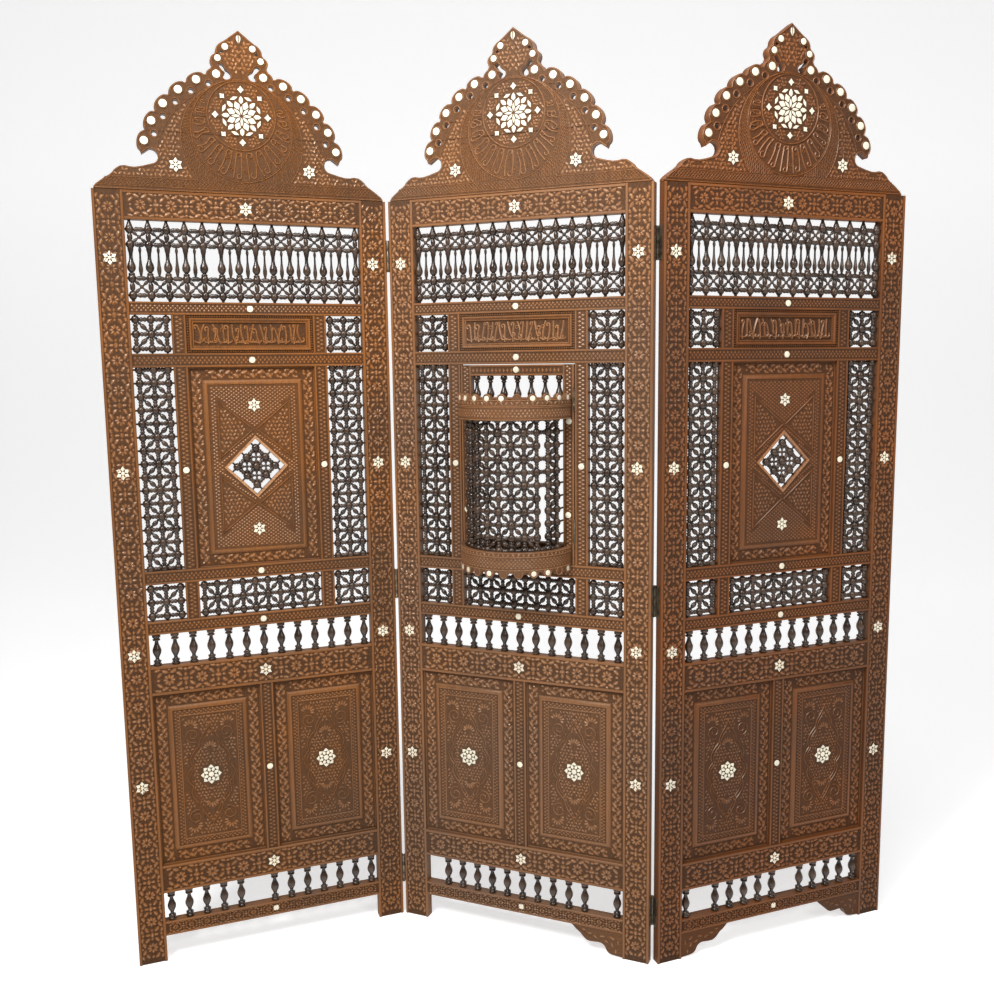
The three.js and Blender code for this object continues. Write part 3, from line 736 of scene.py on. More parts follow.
vase = turning(VASE, 14)
for leaf, lost in LOST_BALUSTERS.items():
    numbers = np.arange(1, BALUSTERS + 1)
    x = MID + (numbers - (BALUSTERS + 1) / 2) * BALUSTER_PITCH
    rows = [
        (x, UPPER_RAIL[1], CROSS_RAILS[0][0]),
        (x[~np.isin(numbers, lost)], BOTTOM_RAIL[1], LOWER_RAIL[0]),
    ]
    for row, (at, z0, z1) in zip(("dado", "foot"), rows):
        spindles = upright(vase, np.column_stack([at, np.full(len(at), z0)]), z1 - z0)
        turned(f"{leaf}_leaf_{row}_balusters", [spindles], leaf)

# ------------------------------------------------------------------ lattices
# The mashrabiya work proper: round beads, links and slanting spindles, each turned with a pin at both
# ends and pushed together without glue. It fills the tall sides, the small squares and the sill.

BEAD_PITCH = 29
SQUARE_PITCH = 30.6
BEAD = turning([(3.2, -8.4), (6.3, -6.6), (8.0, -3.2), (8.4, 0), (8.0, 3.2), (6.3, 6.6), (3.2, 8.4)], 10)
LINK = turning([(2.8, 0), (2.8, 0.24), (4.6, 0.32), (5.4, 0.4), (3.6, 0.5), (5.4, 0.6), (4.6, 0.68),
                (2.8, 0.76), (2.8, 1)], 8)
SLANT = turning([(1.9, 0), (2.0, 0.2), (3.8, 0.26), (2.2, 0.31), (4.6, 0.39), (5.6, 0.5),
                 (4.6, 0.61), (2.2, 0.69), (3.8, 0.74), (2.0, 0.8), (1.9, 1)], 7)
PEG = turning([(2.4, 0), (2.2, 0.3), (3.0, 0.45), (2.2, 0.6), (2.4, 1)], 7)


def beads(places, size=1.0, template=BEAD):
    """Beads on upright axes: the template set at each place, scaled by size."""
    places = np.asarray(places, float)
    own = template["points"] * size
    n, count = len(own), len(places)
    points = (places[:, None] + own[None]).reshape(-1, 3)
    return part(points, copies(template["faces"], n, count), np.tile(template["cut"], count))


def lattice(columns, rows, x0, x1, z0, z1, gaps=(), odd=0, parted=()):
    """Beads where columns and rows cross, links between neighbours, pegs out to the frame, and one slanting
    spindle in each cell. It joins the beads whose numbers add up even, or odd where odd is 1. gaps are cells
    with nothing in them, and parted are the links across that are gone, by their left bead."""
    i, k = np.meshgrid(np.arange(len(columns)), np.arange(len(rows)), indexing="ij")

    def bead(a, b):
        return spot(columns[a], rows[b])

    whole = np.array([(a, b) not in parted for a, b in zip(i[:-1].ravel(), k[:-1].ravel())])
    across = (i[:-1].ravel()[whole], k[:-1].ravel()[whole])
    rising = (i[:, :-1].ravel(), k[:, :-1].ravel())
    starts = [bead(*across), bead(*rising)]
    ends = [bead(across[0] + 1, across[1]), bead(rising[0], rising[1] + 1)]
    cell = (i[:-1, :-1].ravel(), k[:-1, :-1].ravel())
    kept = np.array([(a, b) not in gaps for a, b in zip(*cell)])
    cell = (cell[0][kept], cell[1][kept])
    even = (cell[0] + cell[1] + odd) % 2 == 0
    slant_from = bead(cell[0], np.where(even, cell[1], cell[1] + 1))
    slant_to = bead(cell[0] + 1, np.where(even, cell[1] + 1, cell[1]))
    first, last = np.zeros(len(rows), int), np.full(len(rows), len(columns) - 1)
    level = np.arange(len(rows))
    pegs_from = [bead(first, level) * (0, 1, 1) + (x0, 0, 0), bead(last, level)]
    pegs_to = [bead(first, level), bead(last, level) * (0, 1, 1) + (x1, 0, 0)]
    column = np.arange(len(columns))
    foot, head = np.zeros(len(columns), int), np.full(len(columns), len(rows) - 1)
    pegs_from += [bead(column, foot) * (1, 1, 0) + (0, 0, z0), bead(column, head)]
    pegs_to += [bead(column, foot), bead(column, head) * (1, 1, 0) + (0, 0, z1)]
    return [
        beads(bead(i.ravel(), k.ravel())),
        strung(LINK, np.concatenate(starts), np.concatenate(ends)),
        strung(SLANT, slant_from, slant_to),
        strung(PEG, np.concatenate(pegs_from), np.concatenate(pegs_to)),
    ]


def spread(low, high, count, pitch):
    """count places a pitch apart, in the middle of the range."""
    return (low + high) / 2 + (np.arange(count) - (count - 1) / 2) * pitch


left_columns = spread(inner_left, POSTS[0], 3, BEAD_PITCH)
right_columns = spread(POSTS[1] + NARROW, inner_right, 3, BEAD_PITCH)
sides = ((left_columns, inner_left, POSTS[0]), (right_columns, POSTS[1] + NARROW, inner_right))
openings = [(below[1], above[0]) for below, above in zip(CROSS_RAILS[:-1], CROSS_RAILS[1:])]
TALL_ROWS = 16
STAR_ROW = {"left": 1, "middle": 0, "right": 1}  # rows down to the first star of slanting spindles
SILL_COLUMNS = 10
SILL_GAP = {"left": ((2, 1),), "middle": (), "right": ()}
for leaf in LEAF_YAW:
    z0, z1 = openings[1]
    for side, (columns, x0, x1) in zip(("left", "right"), sides):
        rows = spread(z0, z1, TALL_ROWS, (z1 - z0 - 9) / (TALL_ROWS - 1))
        tall = lattice(columns, rows, x0, x1, z0, z1, odd=STAR_ROW[leaf])
        turned(f"{leaf}_leaf_tall_lattice_{side}", tall, leaf, [f"{leaf}_side_lattice_{side}"])
    squares = []
    for z0, z1 in (openings[0], openings[2]):
        for _, x0, x1 in sides:
            columns, rows = spread(x0, x1, 3, SQUARE_PITCH), spread(z0, z1, 3, SQUARE_PITCH)
            squares += lattice(columns, rows, x0, x1, z0, z1)
    turned(f"{leaf}_leaf_square_lattices", squares, leaf)
    z0, z1 = openings[0]
    x0, x1 = POSTS[0] + NARROW, POSTS[1]
    columns = spread(x0, x1, SILL_COLUMNS, (x1 - x0 - 22) / (SILL_COLUMNS - 1))
    sill = lattice(columns, spread(z0, z1, 3, SQUARE_PITCH), x0, x1, z0, z1, SILL_GAP[leaf])
    turned(f"{leaf}_leaf_sill_lattice", sill, leaf)

# ------------------------------------------------------------------ frieze lattices
# The wide lattice under the top rail: fourteen strings of large beads, with two bands of small crossed
# work and a row of little balusters between them. The left leaf has lost one slim spindle.

FRIEZE_COLUMNS = 14
FRIEZE_PITCH = 36.3
FRIEZE_ROWS = np.array([1622, 1591, 1522, 1487])
SLIM_LOST = {"left": (4,), "middle": (), "right": ()}
ROUND_BEAD = turning([(3.4, -9.2), (5.4, -7.6), (7.9, -4), (8.6, 0), (7.9, 4), (5.4, 7.6), (3.4, 9.2)], 12)
SMALL_BEAD = turning([(1.6, -3.8), (3.4, -2.4), (4, 0), (3.4, 2.4), (1.6, 3.8)], 8)
DROP = turning([(5.4, 0), (6.6, 0.12), (6.4, 0.15), (3.4, 0.17), (6.2, 0.21), (8.4, 0.27), (8.8, 0.34),
                (7.6, 0.42), (4.8, 0.51), (3.6, 0.62), (4, 0.74), (5.8, 0.84), (6, 0.9), (5.4, 1)], 12)
SLIM = turning([(2, 0), (2.4, 0.09), (4.2, 0.2), (4.6, 0.29), (3.4, 0.4), (2.2, 0.56), (1.9, 0.74),
                (3.4, 0.84), (2.2, 0.92), (2, 1)], 8)
TAPER = turning([(6.4, 0), (6.2, 0.4), (4.6, 0.62), (3.2, 0.84), (3, 1)], 12)
COLLAR = turning([(3.2, 0), (3.2, 0.27), (5.2, 0.37), (5.4, 0.5), (5.2, 0.63), (3.2, 0.73), (3.2, 1)], 10)
FINE_SLANT = turning([(1.7, 0), (1.7, 0.2), (3.4, 0.36), (3.9, 0.5), (3.4, 0.62), (1.7, 0.74), (1.7, 1)], 7)


def crossed(x, z, reach):
    """A small bead at each x and z with four slanting spindles out to the corners of its cell."""
    middle = spot(x, z)
    parts = [beads(middle, 1.05, SMALL_BEAD)]
    for across in (-1, 1):
        for up in (-1, 1):
            parts.append(strung(FINE_SLANT, middle, middle + np.array([across, 0, up]) * reach))
    return parts


def frieze(z0, z1, lost):
    """The frieze: strings and cells from the column and row places, all in the turned plane."""
    columns = spread(inner_left, inner_right, FRIEZE_COLUMNS, FRIEZE_PITCH)
    first, second, third, fourth = FRIEZE_ROWS
    cells = (columns[1:] + columns[:-1]) / 2
    parts = [beads(np.concatenate([spot(columns, z) for z in FRIEZE_ROWS]), template=ROUND_BEAD)]
    parts += [strung(TAPER, spot(columns, a), spot(columns, b)) for a, b in ((first, z1), (fourth, z0))]
    parts.append(strung(DROP, spot(columns, third), spot(columns, second)))
    kept = cells[~np.isin(np.arange(len(cells)), lost)]
    parts.append(strung(SLIM, spot(kept, third), spot(kept, second)))
    for high, low in ((first, second), (third, fourth)):
        middle = (high + low) / 2
        parts.append(strung(COLLAR, spot(columns, low), spot(columns, high)))
        parts.append(beads(spot(cells, middle), 1.05, SMALL_BEAD))
        for z in (high, low):
            parts.append(strung(LINK, spot(columns[:-1], z), spot(columns[1:], z)))
            parts.append(beads(spot(cells, z), 1.15, SMALL_BEAD))
            for side in (columns[:-1], columns[1:]):
                parts.append(strung(FINE_SLANT, spot(cells, middle), spot(side, z)))
    for x_from, x_to in ((inner_left, columns[0]), (columns[-1], inner_right)):
        parts.append(strung(PEG, spot(np.full(4, x_from), FRIEZE_ROWS), spot(np.full(4, x_to), FRIEZE_ROWS)))
    return parts


for leaf in LEAF_YAW:
    low, high = span(f"{leaf}_frieze_lattice")
    strings = frieze(low[2], high[2], SLIM_LOST[leaf])
    turned(f"{leaf}_leaf_frieze_lattice", strings, leaf, [f"{leaf}_frieze_lattice"])

# ------------------------------------------------------------------ lower panels
# Two panels in each leaf's dado, held in grooves. A sunk border of scrolling leaves runs round a raised
# field, with a diaper edge, a fine pointed cartouche and leaf work about a bone rosette.

PANEL_BACK = 17
IN_GROOVE = 2.5
SCROLL_PERIOD = 34
SCROLL = np.array([  # one period of the scroll: across, along, lean, length, width and bend
    [4.5, 0, 34, 17, 7, 2.2], [-4.5, 17, -34, 17, 7, -2.2],
    [-7, 2.5, -52, 10, 5, 1], [7, 19.5, 52, 10, 5, -1],
    [8.5, -9.5, 12, 8.5, 4.6, 0], [-8.5, 7.8, -12, 8.5, 4.6, 0],
    [-2.5, -9, 70, 7, 4, 0], [2.5, 8, -70, 7, 4, 0],
]) * (1, 1, 1, 1.1, 1.35, 1)


def stepped(x0, x1, z0, z1, steps, back, hole=None):
    """A panel: rectangles one inside the other, each by its inset, depth and place in the carving, joined by
    mitred strips and closed flat behind, with an edge that goes on into the groove of the frame round it.
    hole is the half diagonal of a square opening set on its corner."""
    inset, depth, cuts = np.array([(-IN_GROOVE, *steps[0][1:]), *steps], float).T
    right, top = np.array([0, 1, 1, 0]), np.array([0, 0, 1, 1])
    x = np.where(right, x1 - inset[:, None], x0 + inset[:, None])
    z = np.where(top, z1 - inset[:, None], z0 + inset[:, None])
    rings = np.stack([x, np.broadcast_to(depth[:, None], x.shape), z], -1)
    behind = rings[:1].copy()
    behind[..., 1] = back
    points = np.concatenate([rings, behind]).reshape(-1, 3)
    n = len(inset)
    k = np.arange(4)
    after = (k + 1) % 4
    quads = [between(4, a * 4, a * 4 + 4) for a in range(n - 1)] + [between(4, n * 4, 0)]
    cut = np.append(np.repeat(cuts, 4), np.full(4, 0.6))
    if hole is None:
        return part(points, [np.concatenate(quads), (n - 1) * 4 + k[None], n * 4 + k[None, ::-1]], cut)
    middle = np.array([(x0 + x1) / 2, (z0 + z1) / 2])
    reach = middle + hole * np.array([(0, -1), (1, 0), (0, 1), (-1, 0)])
    for d in (depth[-1], back):
        points = np.concatenate([points, np.column_stack([reach[:, 0], np.full(4, d), reach[:, 1]])])
    face, rear, near, far = (n - 1) * 4, n * 4, n * 4 + 4, n * 4 + 8
    tris = np.concatenate([
        np.column_stack([face + k, face + after, near + k]),
        np.column_stack([face + after, near + after, near + k]),
        np.column_stack([rear + after, rear + k, far + k]),
        np.column_stack([far + k, far + after, rear + after]),
    ])
    quads.append(between(4, near, far))
    return part(points, [np.concatenate(quads), tris], np.append(cut, [cuts[-1]] * 4 + [0.6] * 4))


def scroll_border(x0, x1, z0, z1, inset, scale, seed):
    """The scrolling band along all four sides of a rectangle, its middle a set way in from the edge."""
    upright_band = band(SCROLL, SCROLL_PERIOD, z0 + 2, z1 - 2, scale, seed)
    lying = across_band(band(SCROLL, SCROLL_PERIOD, x0 + 2 * inset, x1 - 2 * inset, scale, seed + 1))
    return np.concatenate([
        upright_band + (x0 + inset, 0, 0, 0, 0, 0), upright_band + (x1 - inset, 0, 0, 0, 0, 0),
        lying + (0, z0 + inset, 0, 0, 0, 0), lying + (0, z1 - inset, 0, 0, 0, 0),
    ])


def ridge(path, width, height, closed=False):
    """A raised line with a sharp back along a path in x and z: a foot on either side, half the width away
    along the path's normal, and the back above it."""
    path = np.asarray(path, float)
    n = len(path)
    if closed:
        way = np.roll(path, -1, 0) - np.roll(path, 1, 0)
    else:
        way = np.gradient(path, axis=0)
    way /= np.linalg.norm(way, axis=1)[:, None] + 1e-9
    side = np.column_stack([-way[:, 1], way[:, 0]]) * width / 2
    lines = [(path + side, -SEAT), (path, height), (path - side, -SEAT)]
    rows = [np.column_stack([xz[:, 0], np.full(n, h), xz[:, 1]]) for xz, h in lines]
    points = np.stack(rows, 1).reshape(-1, 3)
    k = np.arange(n if closed else n - 1) * 3
    after = (k + 3) % (3 * n)
    quads = [np.column_stack([k + a, k + b, after + b, after + a]) for a, b in ((0, 1), (1, 2), (2, 0))]
    ends = [] if closed else [np.array([[2, 1, 0], [3 * n - 3, 3 * n - 2, 3 * n - 1]])]
    return part(points, [np.concatenate(quads), *ends], np.tile([0.7, 0.0, 0.7], n))


def faced(line, side):
    """A line drawn for one side; its mirror image, where side is below 0, is run through the other way."""
    return line if side > 0 else line[::-1]


def arabesque(inside, reach, low, high, pitch, size, seed, swirl=0.0):
    """Leaf work that fills a place on both sides of its middle: a staggered grid, kept where inside says.
    Each leaf leans to one side or the other by turns, and swirl adds a lean that grows with x."""
    columns, rows = int(reach / pitch) + 1, int((high - low) / pitch) + 1
    i, k = (grid.ravel() for grid in np.meshgrid(np.arange(columns), np.arange(rows)))
    x = (i + 0.5 + 0.25 * (-1.0) ** k) * pitch
    z = low + (k + 0.5) * (high - low) / rows
    keep = inside(x, z)
    x, z, by_turns = x[keep], z[keep], ((i + k) % 2)[keep] * 2 - 1
    slips = np.random.default_rng(seed).normal(0, 1, (4, len(x)))
    lean = swirl * x + 42 * by_turns + slips[0] * 9
    rows = np.column_stack([
        x + slips[1] * 0.5, z + slips[2] * 0.5, lean,
        size * (1 + 0.12 * slips[3]), np.full(len(x), size * 0.56), by_turns * size * 0.1,
    ])
    return mirrored(rows)


LOWER_STEPS = [  # inset from the edge, depth, and place in the carving
    (0, 8.6, 0.5), (1, 8, 0.4), (2.5, 9.6, 0.8), (29, 9.6, 0.8), (30.5, 8, 0.45), (35, 4.6, 0.4),
    (36.5, 4.2, 0.25), (39, 4.2, 0.4), (40, 5.6, 0.8), (52, 5.6, 0.8), (53, 4.6, 0.3), (54.5, 4.6, 0.35),
    (55.5, 5.8, 0.75),
]
CARTOUCHE = (52, 118)  # half width and half height


def cartouche(width, height, lobes=0.0):
    """A pointed ogee: the half width falls from the middle as one less the height's power, to a power. Lobes
    scallop it: five bows up each side, each the size of a sine between its ends."""
    t = np.linspace(-1, 1, 61)
    x = width * (1 - np.abs(t) ** 1.9) ** 1.25 * (1 - lobes * (1 - np.abs(np.sin(2.5 * math.pi * (t + 1)))))
    return np.concatenate([np.column_stack([x, t * height]), np.column_stack([-x, t * height])[-2:0:-1]])


def fan(x, z, towards, count, spread_by, reach, length):
    """A palmette: leaves that spread from one point, about the way they face in degrees from upright."""
    lean = towards + np.linspace(-spread_by, spread_by, count)
    a = np.radians(lean)
    long = length * (1 - 0.3 * (np.linspace(-1, 1, count) ** 2))
    wide = np.full(count, length * 0.36)
    return np.column_stack([x + reach * np.sin(a), z + reach * np.cos(a), lean, long, wide, np.zeros(count)])


SCROLL_EYE = (36, 96)  # middle of the curl in each quarter of the panel's field
FAN_FOOT = (40, 116)
curl_turn = np.linspace(-110, 380, 40)
CURL = np.column_stack([
    SCROLL_EYE[0] + np.linspace(17, 4, 40) * np.cos(np.radians(curl_turn)),
    SCROLL_EYE[1] + np.linspace(17, 4, 40) * np.sin(np.radians(curl_turn)),
])


def lower_panel(node, seed):
    """A lower panel: its stepped body, the scroll, the diaper edge, the cartouche lines and the leaf work."""
    (x0, x1, z0, z1), middle = room_of(node)
    ground = LOWER_STEPS[-1][1]
    width, height = CARTOUCHE
    half_x, half_z = (x1 - x0) / 2 - 58, (z1 - z0) / 2 - 58

    def shape(x, z):
        return np.abs(x) / (width * np.clip(1 - np.abs(z / height) ** 1.9, 1e-6, 1) ** 1.25)

    def within(x, z):
        clear = (np.hypot(x, z) > 27) & (np.hypot(x, np.abs(z) - 74) > 19)
        return (shape(x, z) < 0.74) & clear

    def beyond(x, z):
        corner = np.hypot(np.abs(x) - FAN_FOOT[0], np.abs(z) - FAN_FOOT[1]) > 21
        curl = np.hypot(np.abs(x) - SCROLL_EYE[0], np.abs(z) - SCROLL_EYE[1]) > 21
        return (shape(x, z) > 1.14) & (np.abs(x) < half_x) & (np.abs(z) < half_z) & corner & curl

    def edge(x, z):
        return np.minimum.reduce([x - x0, x1 - x, z - z0, z1 - z]) < 52

    parts = [stepped(x0, x1, z0, z1, LOWER_STEPS, PANEL_BACK)]
    parts.append(on_face(leaves(scroll_border(x0, x1, z0, z1, 16, 1, seed), 1.8), 9.6))
    parts.append(lozenges(x0 + 40, x1 - 40, z0 + 40, z1 - 40, 5.6, (10, 8), keep=edge))
    work = [
        leaves(arabesque(within, width, -height, height, 7.4, 7.6, seed, 0.6), 1.1),
        leaves(arabesque(beyond, half_x, -half_z, half_z, 7.4, 7.6, seed + 1, -0.4), 1.1),
        ridge(cartouche(width, height, 0.2), 2.6, 1.6, True),
        ridge(cartouche(width * 0.86, height * 0.9, 0.2), 1.8, 1.1, True),
    ]
    sprays = []
    for up in (1, -1):
        facing = 0 if up > 0 else 180
        sprays += [fan(0, up * 62, facing, 7, 78, 11, 15), fan(0, up * 128, 180 - facing, 3, 34, 8, 9)]
        for side in (1, -1):
            sprays.append(fan(side * FAN_FOOT[0], up * FAN_FOOT[1], facing - side * up * 20, 7, 84, 12, 15))
            work.append(ridge(faced(CURL * (side, up), side * up), 2.6, 1.5))
    work.append(leaves(np.concatenate(sprays), 1.5))
    parts += [moved(on_face(p, ground), middle) for p in work]
    return parts


for leaf in LEAF_YAW:
    for side in ("left", "right"):
        node = f"{leaf}_lower_panel_{side}"
        carved(f"{leaf}_leaf_lower_panel_{side}", lower_panel(node, len(node)), leaf, [node])

# ------------------------------------------------------------------ centre panels
# The tall panels of the outer leaves: a sunk scroll border, then a raised field of diaper work with
# lined triangles round a square opening set on its corner, which holds a small lattice.

CENTRE_STEPS = [
    (0, 9, 0.5), (1, 8.4, 0.4), (2.5, 9.8, 0.8), (27, 9.2, 0.8), (28.5, 7.4, 0.5), (33, 4.8, 0.45),
    (34.5, 4.4, 0.25), (37, 4.4, 0.4), (38, 5.6, 0.75),
]
DIAMOND = 64  # half the diagonal of the opening


def diamond_frame(inner, outer, front, top):
    """The mitred moulding round the opening: four corners at each of inner and outer reach, high and low."""
    turn = np.array([(0, -1), (1, 0), (0, 1), (-1, 0)], float)
    rings = [(outer, front), (outer - 1.5, top), (inner + 1, top), (inner, front + 9)]
    squares = [np.column_stack([turn[:, 0] * r, np.full(4, d), turn[:, 1] * r]) for r, d in rings]
    quads = np.concatenate([between(4, a, (a + 4) % 16) for a in (0, 4, 8, 12)])
    return part(np.concatenate(squares), [quads], np.repeat([0.3, 0.0, 0.0, 0.5], 4))


def turned_square(parts, degrees):
    """Parts turned about the depth axis through the middle: x and z by cosine and sine."""
    a = math.radians(degrees)
    spin = np.array([[math.cos(a), 0, math.sin(a)], [0, 1, 0], [-math.sin(a), 0, math.cos(a)]])
    return [p | {"points": p["points"] @ spin} for p in parts]


for leaf in ("left", "right"):
    node = f"{leaf}_centre_panel"
    (x0, x1, z0, z1), middle = room_of(node)
    half_x, half_z = (x1 - x0) / 2 - 41, (z1 - z0) / 2 - 41
    field = CENTRE_STEPS[-1][1]
    # the triangles: their long side upright, their point towards the opening
    tri_x, tri_low, tri_high = half_x - 17, 22, half_z - 34
    tri_z, slope = (tri_low + tri_high) / 2, (tri_high - tri_low) / 2
    triangle = np.array([(tri_x, tri_low), (tri_x, tri_high), (tri_x - slope * 1.2, tri_z)])

    def in_triangle(x, z, margin):
        leaning = (tri_x - np.abs(x)) / 1.2 + np.abs(np.abs(z) - tri_z)
        return (np.abs(x) < tri_x + margin) & (leaning < slope + margin * 1.3)

    def clear(x, z):
        return (np.abs(x) + np.abs(z) > DIAMOND + 12) & ~in_triangle(x, z, 5)

    def leafy(x, z):
        return (np.abs(x) + np.abs(z) > DIAMOND + 14) & in_triangle(x, z, -6)

    work = [lozenges(-half_x, half_x, -half_z, half_z, field, (10.5, 8), 1.3, keep=clear)]
    work.append(on_face(leaves(arabesque(leafy, half_x, -half_z, half_z, 8.5, 9, 4), 1.1), field))
    for sx in (-1, 1):
        for sz in (-1, 1):
            lines = triangle * (sx, sz)
            loop = np.concatenate([np.linspace(a, b, 8)[:-1] for a, b in zip(lines, np.roll(lines, -1, 0))])
            work.append(on_face(ridge(faced(loop, sx * sz), 3, 1.9, True), field))
    work.append(diamond_frame(DIAMOND - 3, DIAMOND + 6, field, 3.6))
    body = [stepped(x0, x1, z0, z1, CENTRE_STEPS, PANEL_BACK, DIAMOND)]
    body.append(on_face(leaves(scroll_border(x0, x1, z0, z1, 15, 0.95, 5), 1.8), 9.5))
    carved(f"{leaf}_leaf_centre_panel", body + [moved(p, middle) for p in work], leaf, [node])
    side = DIAMOND / math.sqrt(2) - 1
    cells = spread(0, 0, 3, BEAD_PITCH)
    every = {(a, b) for a in range(2) for b in range(2)}
    grid = lattice(cells, cells, -side, side, -side, side, every)
    grid += crossed(*(m.ravel() for m in np.meshgrid(*[(cells[1:] + cells[:-1]) / 2] * 2)), BEAD_PITCH / 2)
    grid = [moved(p, middle) for p in turned_square(grid, 45)]
    turned(f"{leaf}_leaf_diamond_lattice", grid, leaf)

# ------------------------------------------------------------------ tablets
# A long tablet above each centre: a rope moulding in a channel darkened with painted shade, a plain frame, a
# cove with a fillet below it and a sunk field filled with shallow cut strokes.

# the first three steps, the rope's channel, lie deep in the carving so that they take painted shade between
# the beads
TABLET_STEPS = [(0, 4.8, 0.9), (0.8, 4.5, 0.95), (5.6, 4.5, 0.95), (6.6, 1.6, 0.3), (9, 1.6, 0.25),
                (12.4, 5, 0.65), (13.2, 3.9, 0.2), (14.8, 3.9, 0.25), (16.2, 7.2, 0.84)]
ROPE_INSET = 3
ROPE_TWIST = 5  # length of one turn of the rope


def round_point(centre, radius, degrees):
    """Points on a circle, the angle counted from the right and turning upwards."""
    a = np.radians(degrees)
    return np.stack([centre[0] + radius * np.cos(a), centre[1] + radius * np.sin(a)], -1)


def hooked(room, hook, bend, turn):
    """A stroke drawn across and along: it rises with a bend, a half sine, and ends in a hook, an arc. A turn
    of 1 or -1 says to which side it hooks, and one that turns right hangs from the top."""
    rise = np.linspace(0, 1, 7)
    curl = np.linspace(0.25, 1.45, 7) * math.pi
    along = np.concatenate([rise * (room - hook * 1.2), room - hook * 1.2 + hook * np.sin(curl)])
    across = np.concatenate([bend * np.sin(rise * math.pi), turn * hook * (1 - np.cos(curl))])
    return across, room - along if turn > 0 else along


def strokes(half_width, room, pitch, seed):
    """Hooked strokes side by side over a long field, with low curls and dots between them."""
    random = np.random.default_rng(seed)
    parts = []
    for n, x in enumerate(np.arange(-half_width + pitch / 2, half_width - pitch / 4, pitch)):
        turn = 1 if n % 2 else -1
        tall = room * random.uniform(0.75, 1.0)
        across, along = hooked(tall, random.uniform(2.4, 4.6), random.normal(0, 1.8), turn)
        foot = -room / 2 if turn < 0 else room / 2 - tall
        across = across + random.uniform(-0.26, 0.26) * (along - room / 2)
        parts.append(ridge(np.column_stack([x + across, foot + along]), 5.6, 2.7))
        if n % 3 == 1:
            curl = round_point((x + pitch * 0.8, -turn * room * 0.22), 3.4, np.arange(0, 360, 45))
            parts.append(ridge(curl, 3.6, 2.3, True))
        else:
            sweep = np.linspace(0, math.pi, 7)
            low = np.column_stack([x - pitch * 0.9 * np.cos(sweep), -room * 0.3 - 5 * np.sin(sweep)])
            parts.append(ridge(low, 4.6, 2.4))
    return parts


for leaf in LEAF_YAW:
    node = f"{leaf}_tablet"
    (x0, x1, z0, z1), middle = room_of(node)
    body = [stepped(x0, x1, z0, z1, TABLET_STEPS, PANEL_BACK)]
    left, right, foot, top = x0 + ROPE_INSET, x1 - ROPE_INSET, z0 + ROPE_INSET, z1 - ROPE_INSET
    along = np.linspace(left, right, round((right - left) / ROPE_TWIST))
    up = np.linspace(foot, top, round((top - foot) / ROPE_TWIST))[1:-1]
    rope = [np.column_stack([along, np.full(len(along), z)]) for z in (foot, top)]
    rope += [np.column_stack([np.full(len(up), x), up]) for x in (left, right)]
    body.append(on_face(notches(np.concatenate(rope), 5.6, 5.2, 3.1, 20), 4.5))
    field = strokes((x1 - x0) / 2 - 20, z1 - z0 - 37, 10.2, ord(leaf[0]))
    body += [moved(on_face(p, TABLET_STEPS[-1][1]), middle) for p in field]
    carved(f"{leaf}_leaf_tablet", body, leaf, [node])

# ------------------------------------------------------------------ crests
# A pierced board glued on edge over each leaf: scalloped round a dome, with small round holes and two
# curled slots. A crescent of raised strokes holds a disc; hatching and leaf work fill the rest.

CREST_FRONT = 1.5
CREST_THICK = 19
CREST_GROUND = CREST_FRONT + 1.5
CREST_FOOT = 1700.3
LOBE_CENTRE = np.array([0, 43.5])
LOBE_FIRST = 16
LOBE_STEP = 12.1
BOSS_DEGREES = LOBE_FIRST + LOBE_STEP * np.arange(6)
BOSS_CIRCLE = 206
HOLE_CIRCLE = 191
SHOULDER = [(300, 0), (300, 6), (284, 19), (265, 31), (258, 41), (243, 50), (222, 46), (203, 50)]
NECK = [(56, 261), (60, 271), (57, 280), (48, 286), (47, 297), (40, 306), (28, 313), (13, 325), (0, 335)]
NECK_SLOT = [(43, 263), (37, 267), (31, 262), (29, 255), (22, 252), (17, 246), (19, 238), (27, 234),
             (34, 236), (34, 243), (29, 248), (37, 254)]
NECK_BOSSES = [(44, 276), (28, 300)]
DROPS = [(20, 309, 35), (36, 290, 70)]  # x, z and lean of the drop holes
CREST_STAR = (138, 55)
TULIP_HIGH = 317
FOOT_BAND = (8.5, 26)  # heights of the two lines of the hatched band at the foot
CREST_MIDDLE = {"left": MID, "middle": MID, "right": MID - 6}  # the right one is glued a little off
MOON = (np.array([0, 130.5]), 103.5)
DISC = (np.array([0, 162]), 70.5)
OUTER_RING = (np.array([0, 108.4]), 125.6)


def crest_outline():
    """The crest's edge, anticlockwise: shoulder, cove, hook, the scallops and the neck, then all mirrored. A
    scallop is the boss circle's radius raised by a half ellipse over each boss."""
    cove = round_point((187, 70), 15, np.linspace(-95, -275, 9))
    degrees = np.arange(10.4, 74.6, 0.9)
    past = (degrees - LOBE_FIRST) / LOBE_STEP
    past -= np.round(past)
    scallops = round_point(LOBE_CENTRE, 210 + 10 * np.sqrt(np.clip(1 - (past / 0.45) ** 2, 0, 1)), degrees)
    flank = np.concatenate([rounded(SHOULDER, 1), cove, [(204, 74)], scallops, rounded(NECK, 1)])
    return np.concatenate([flank, (flank[:-1] * (-1, 1))[::-1]])


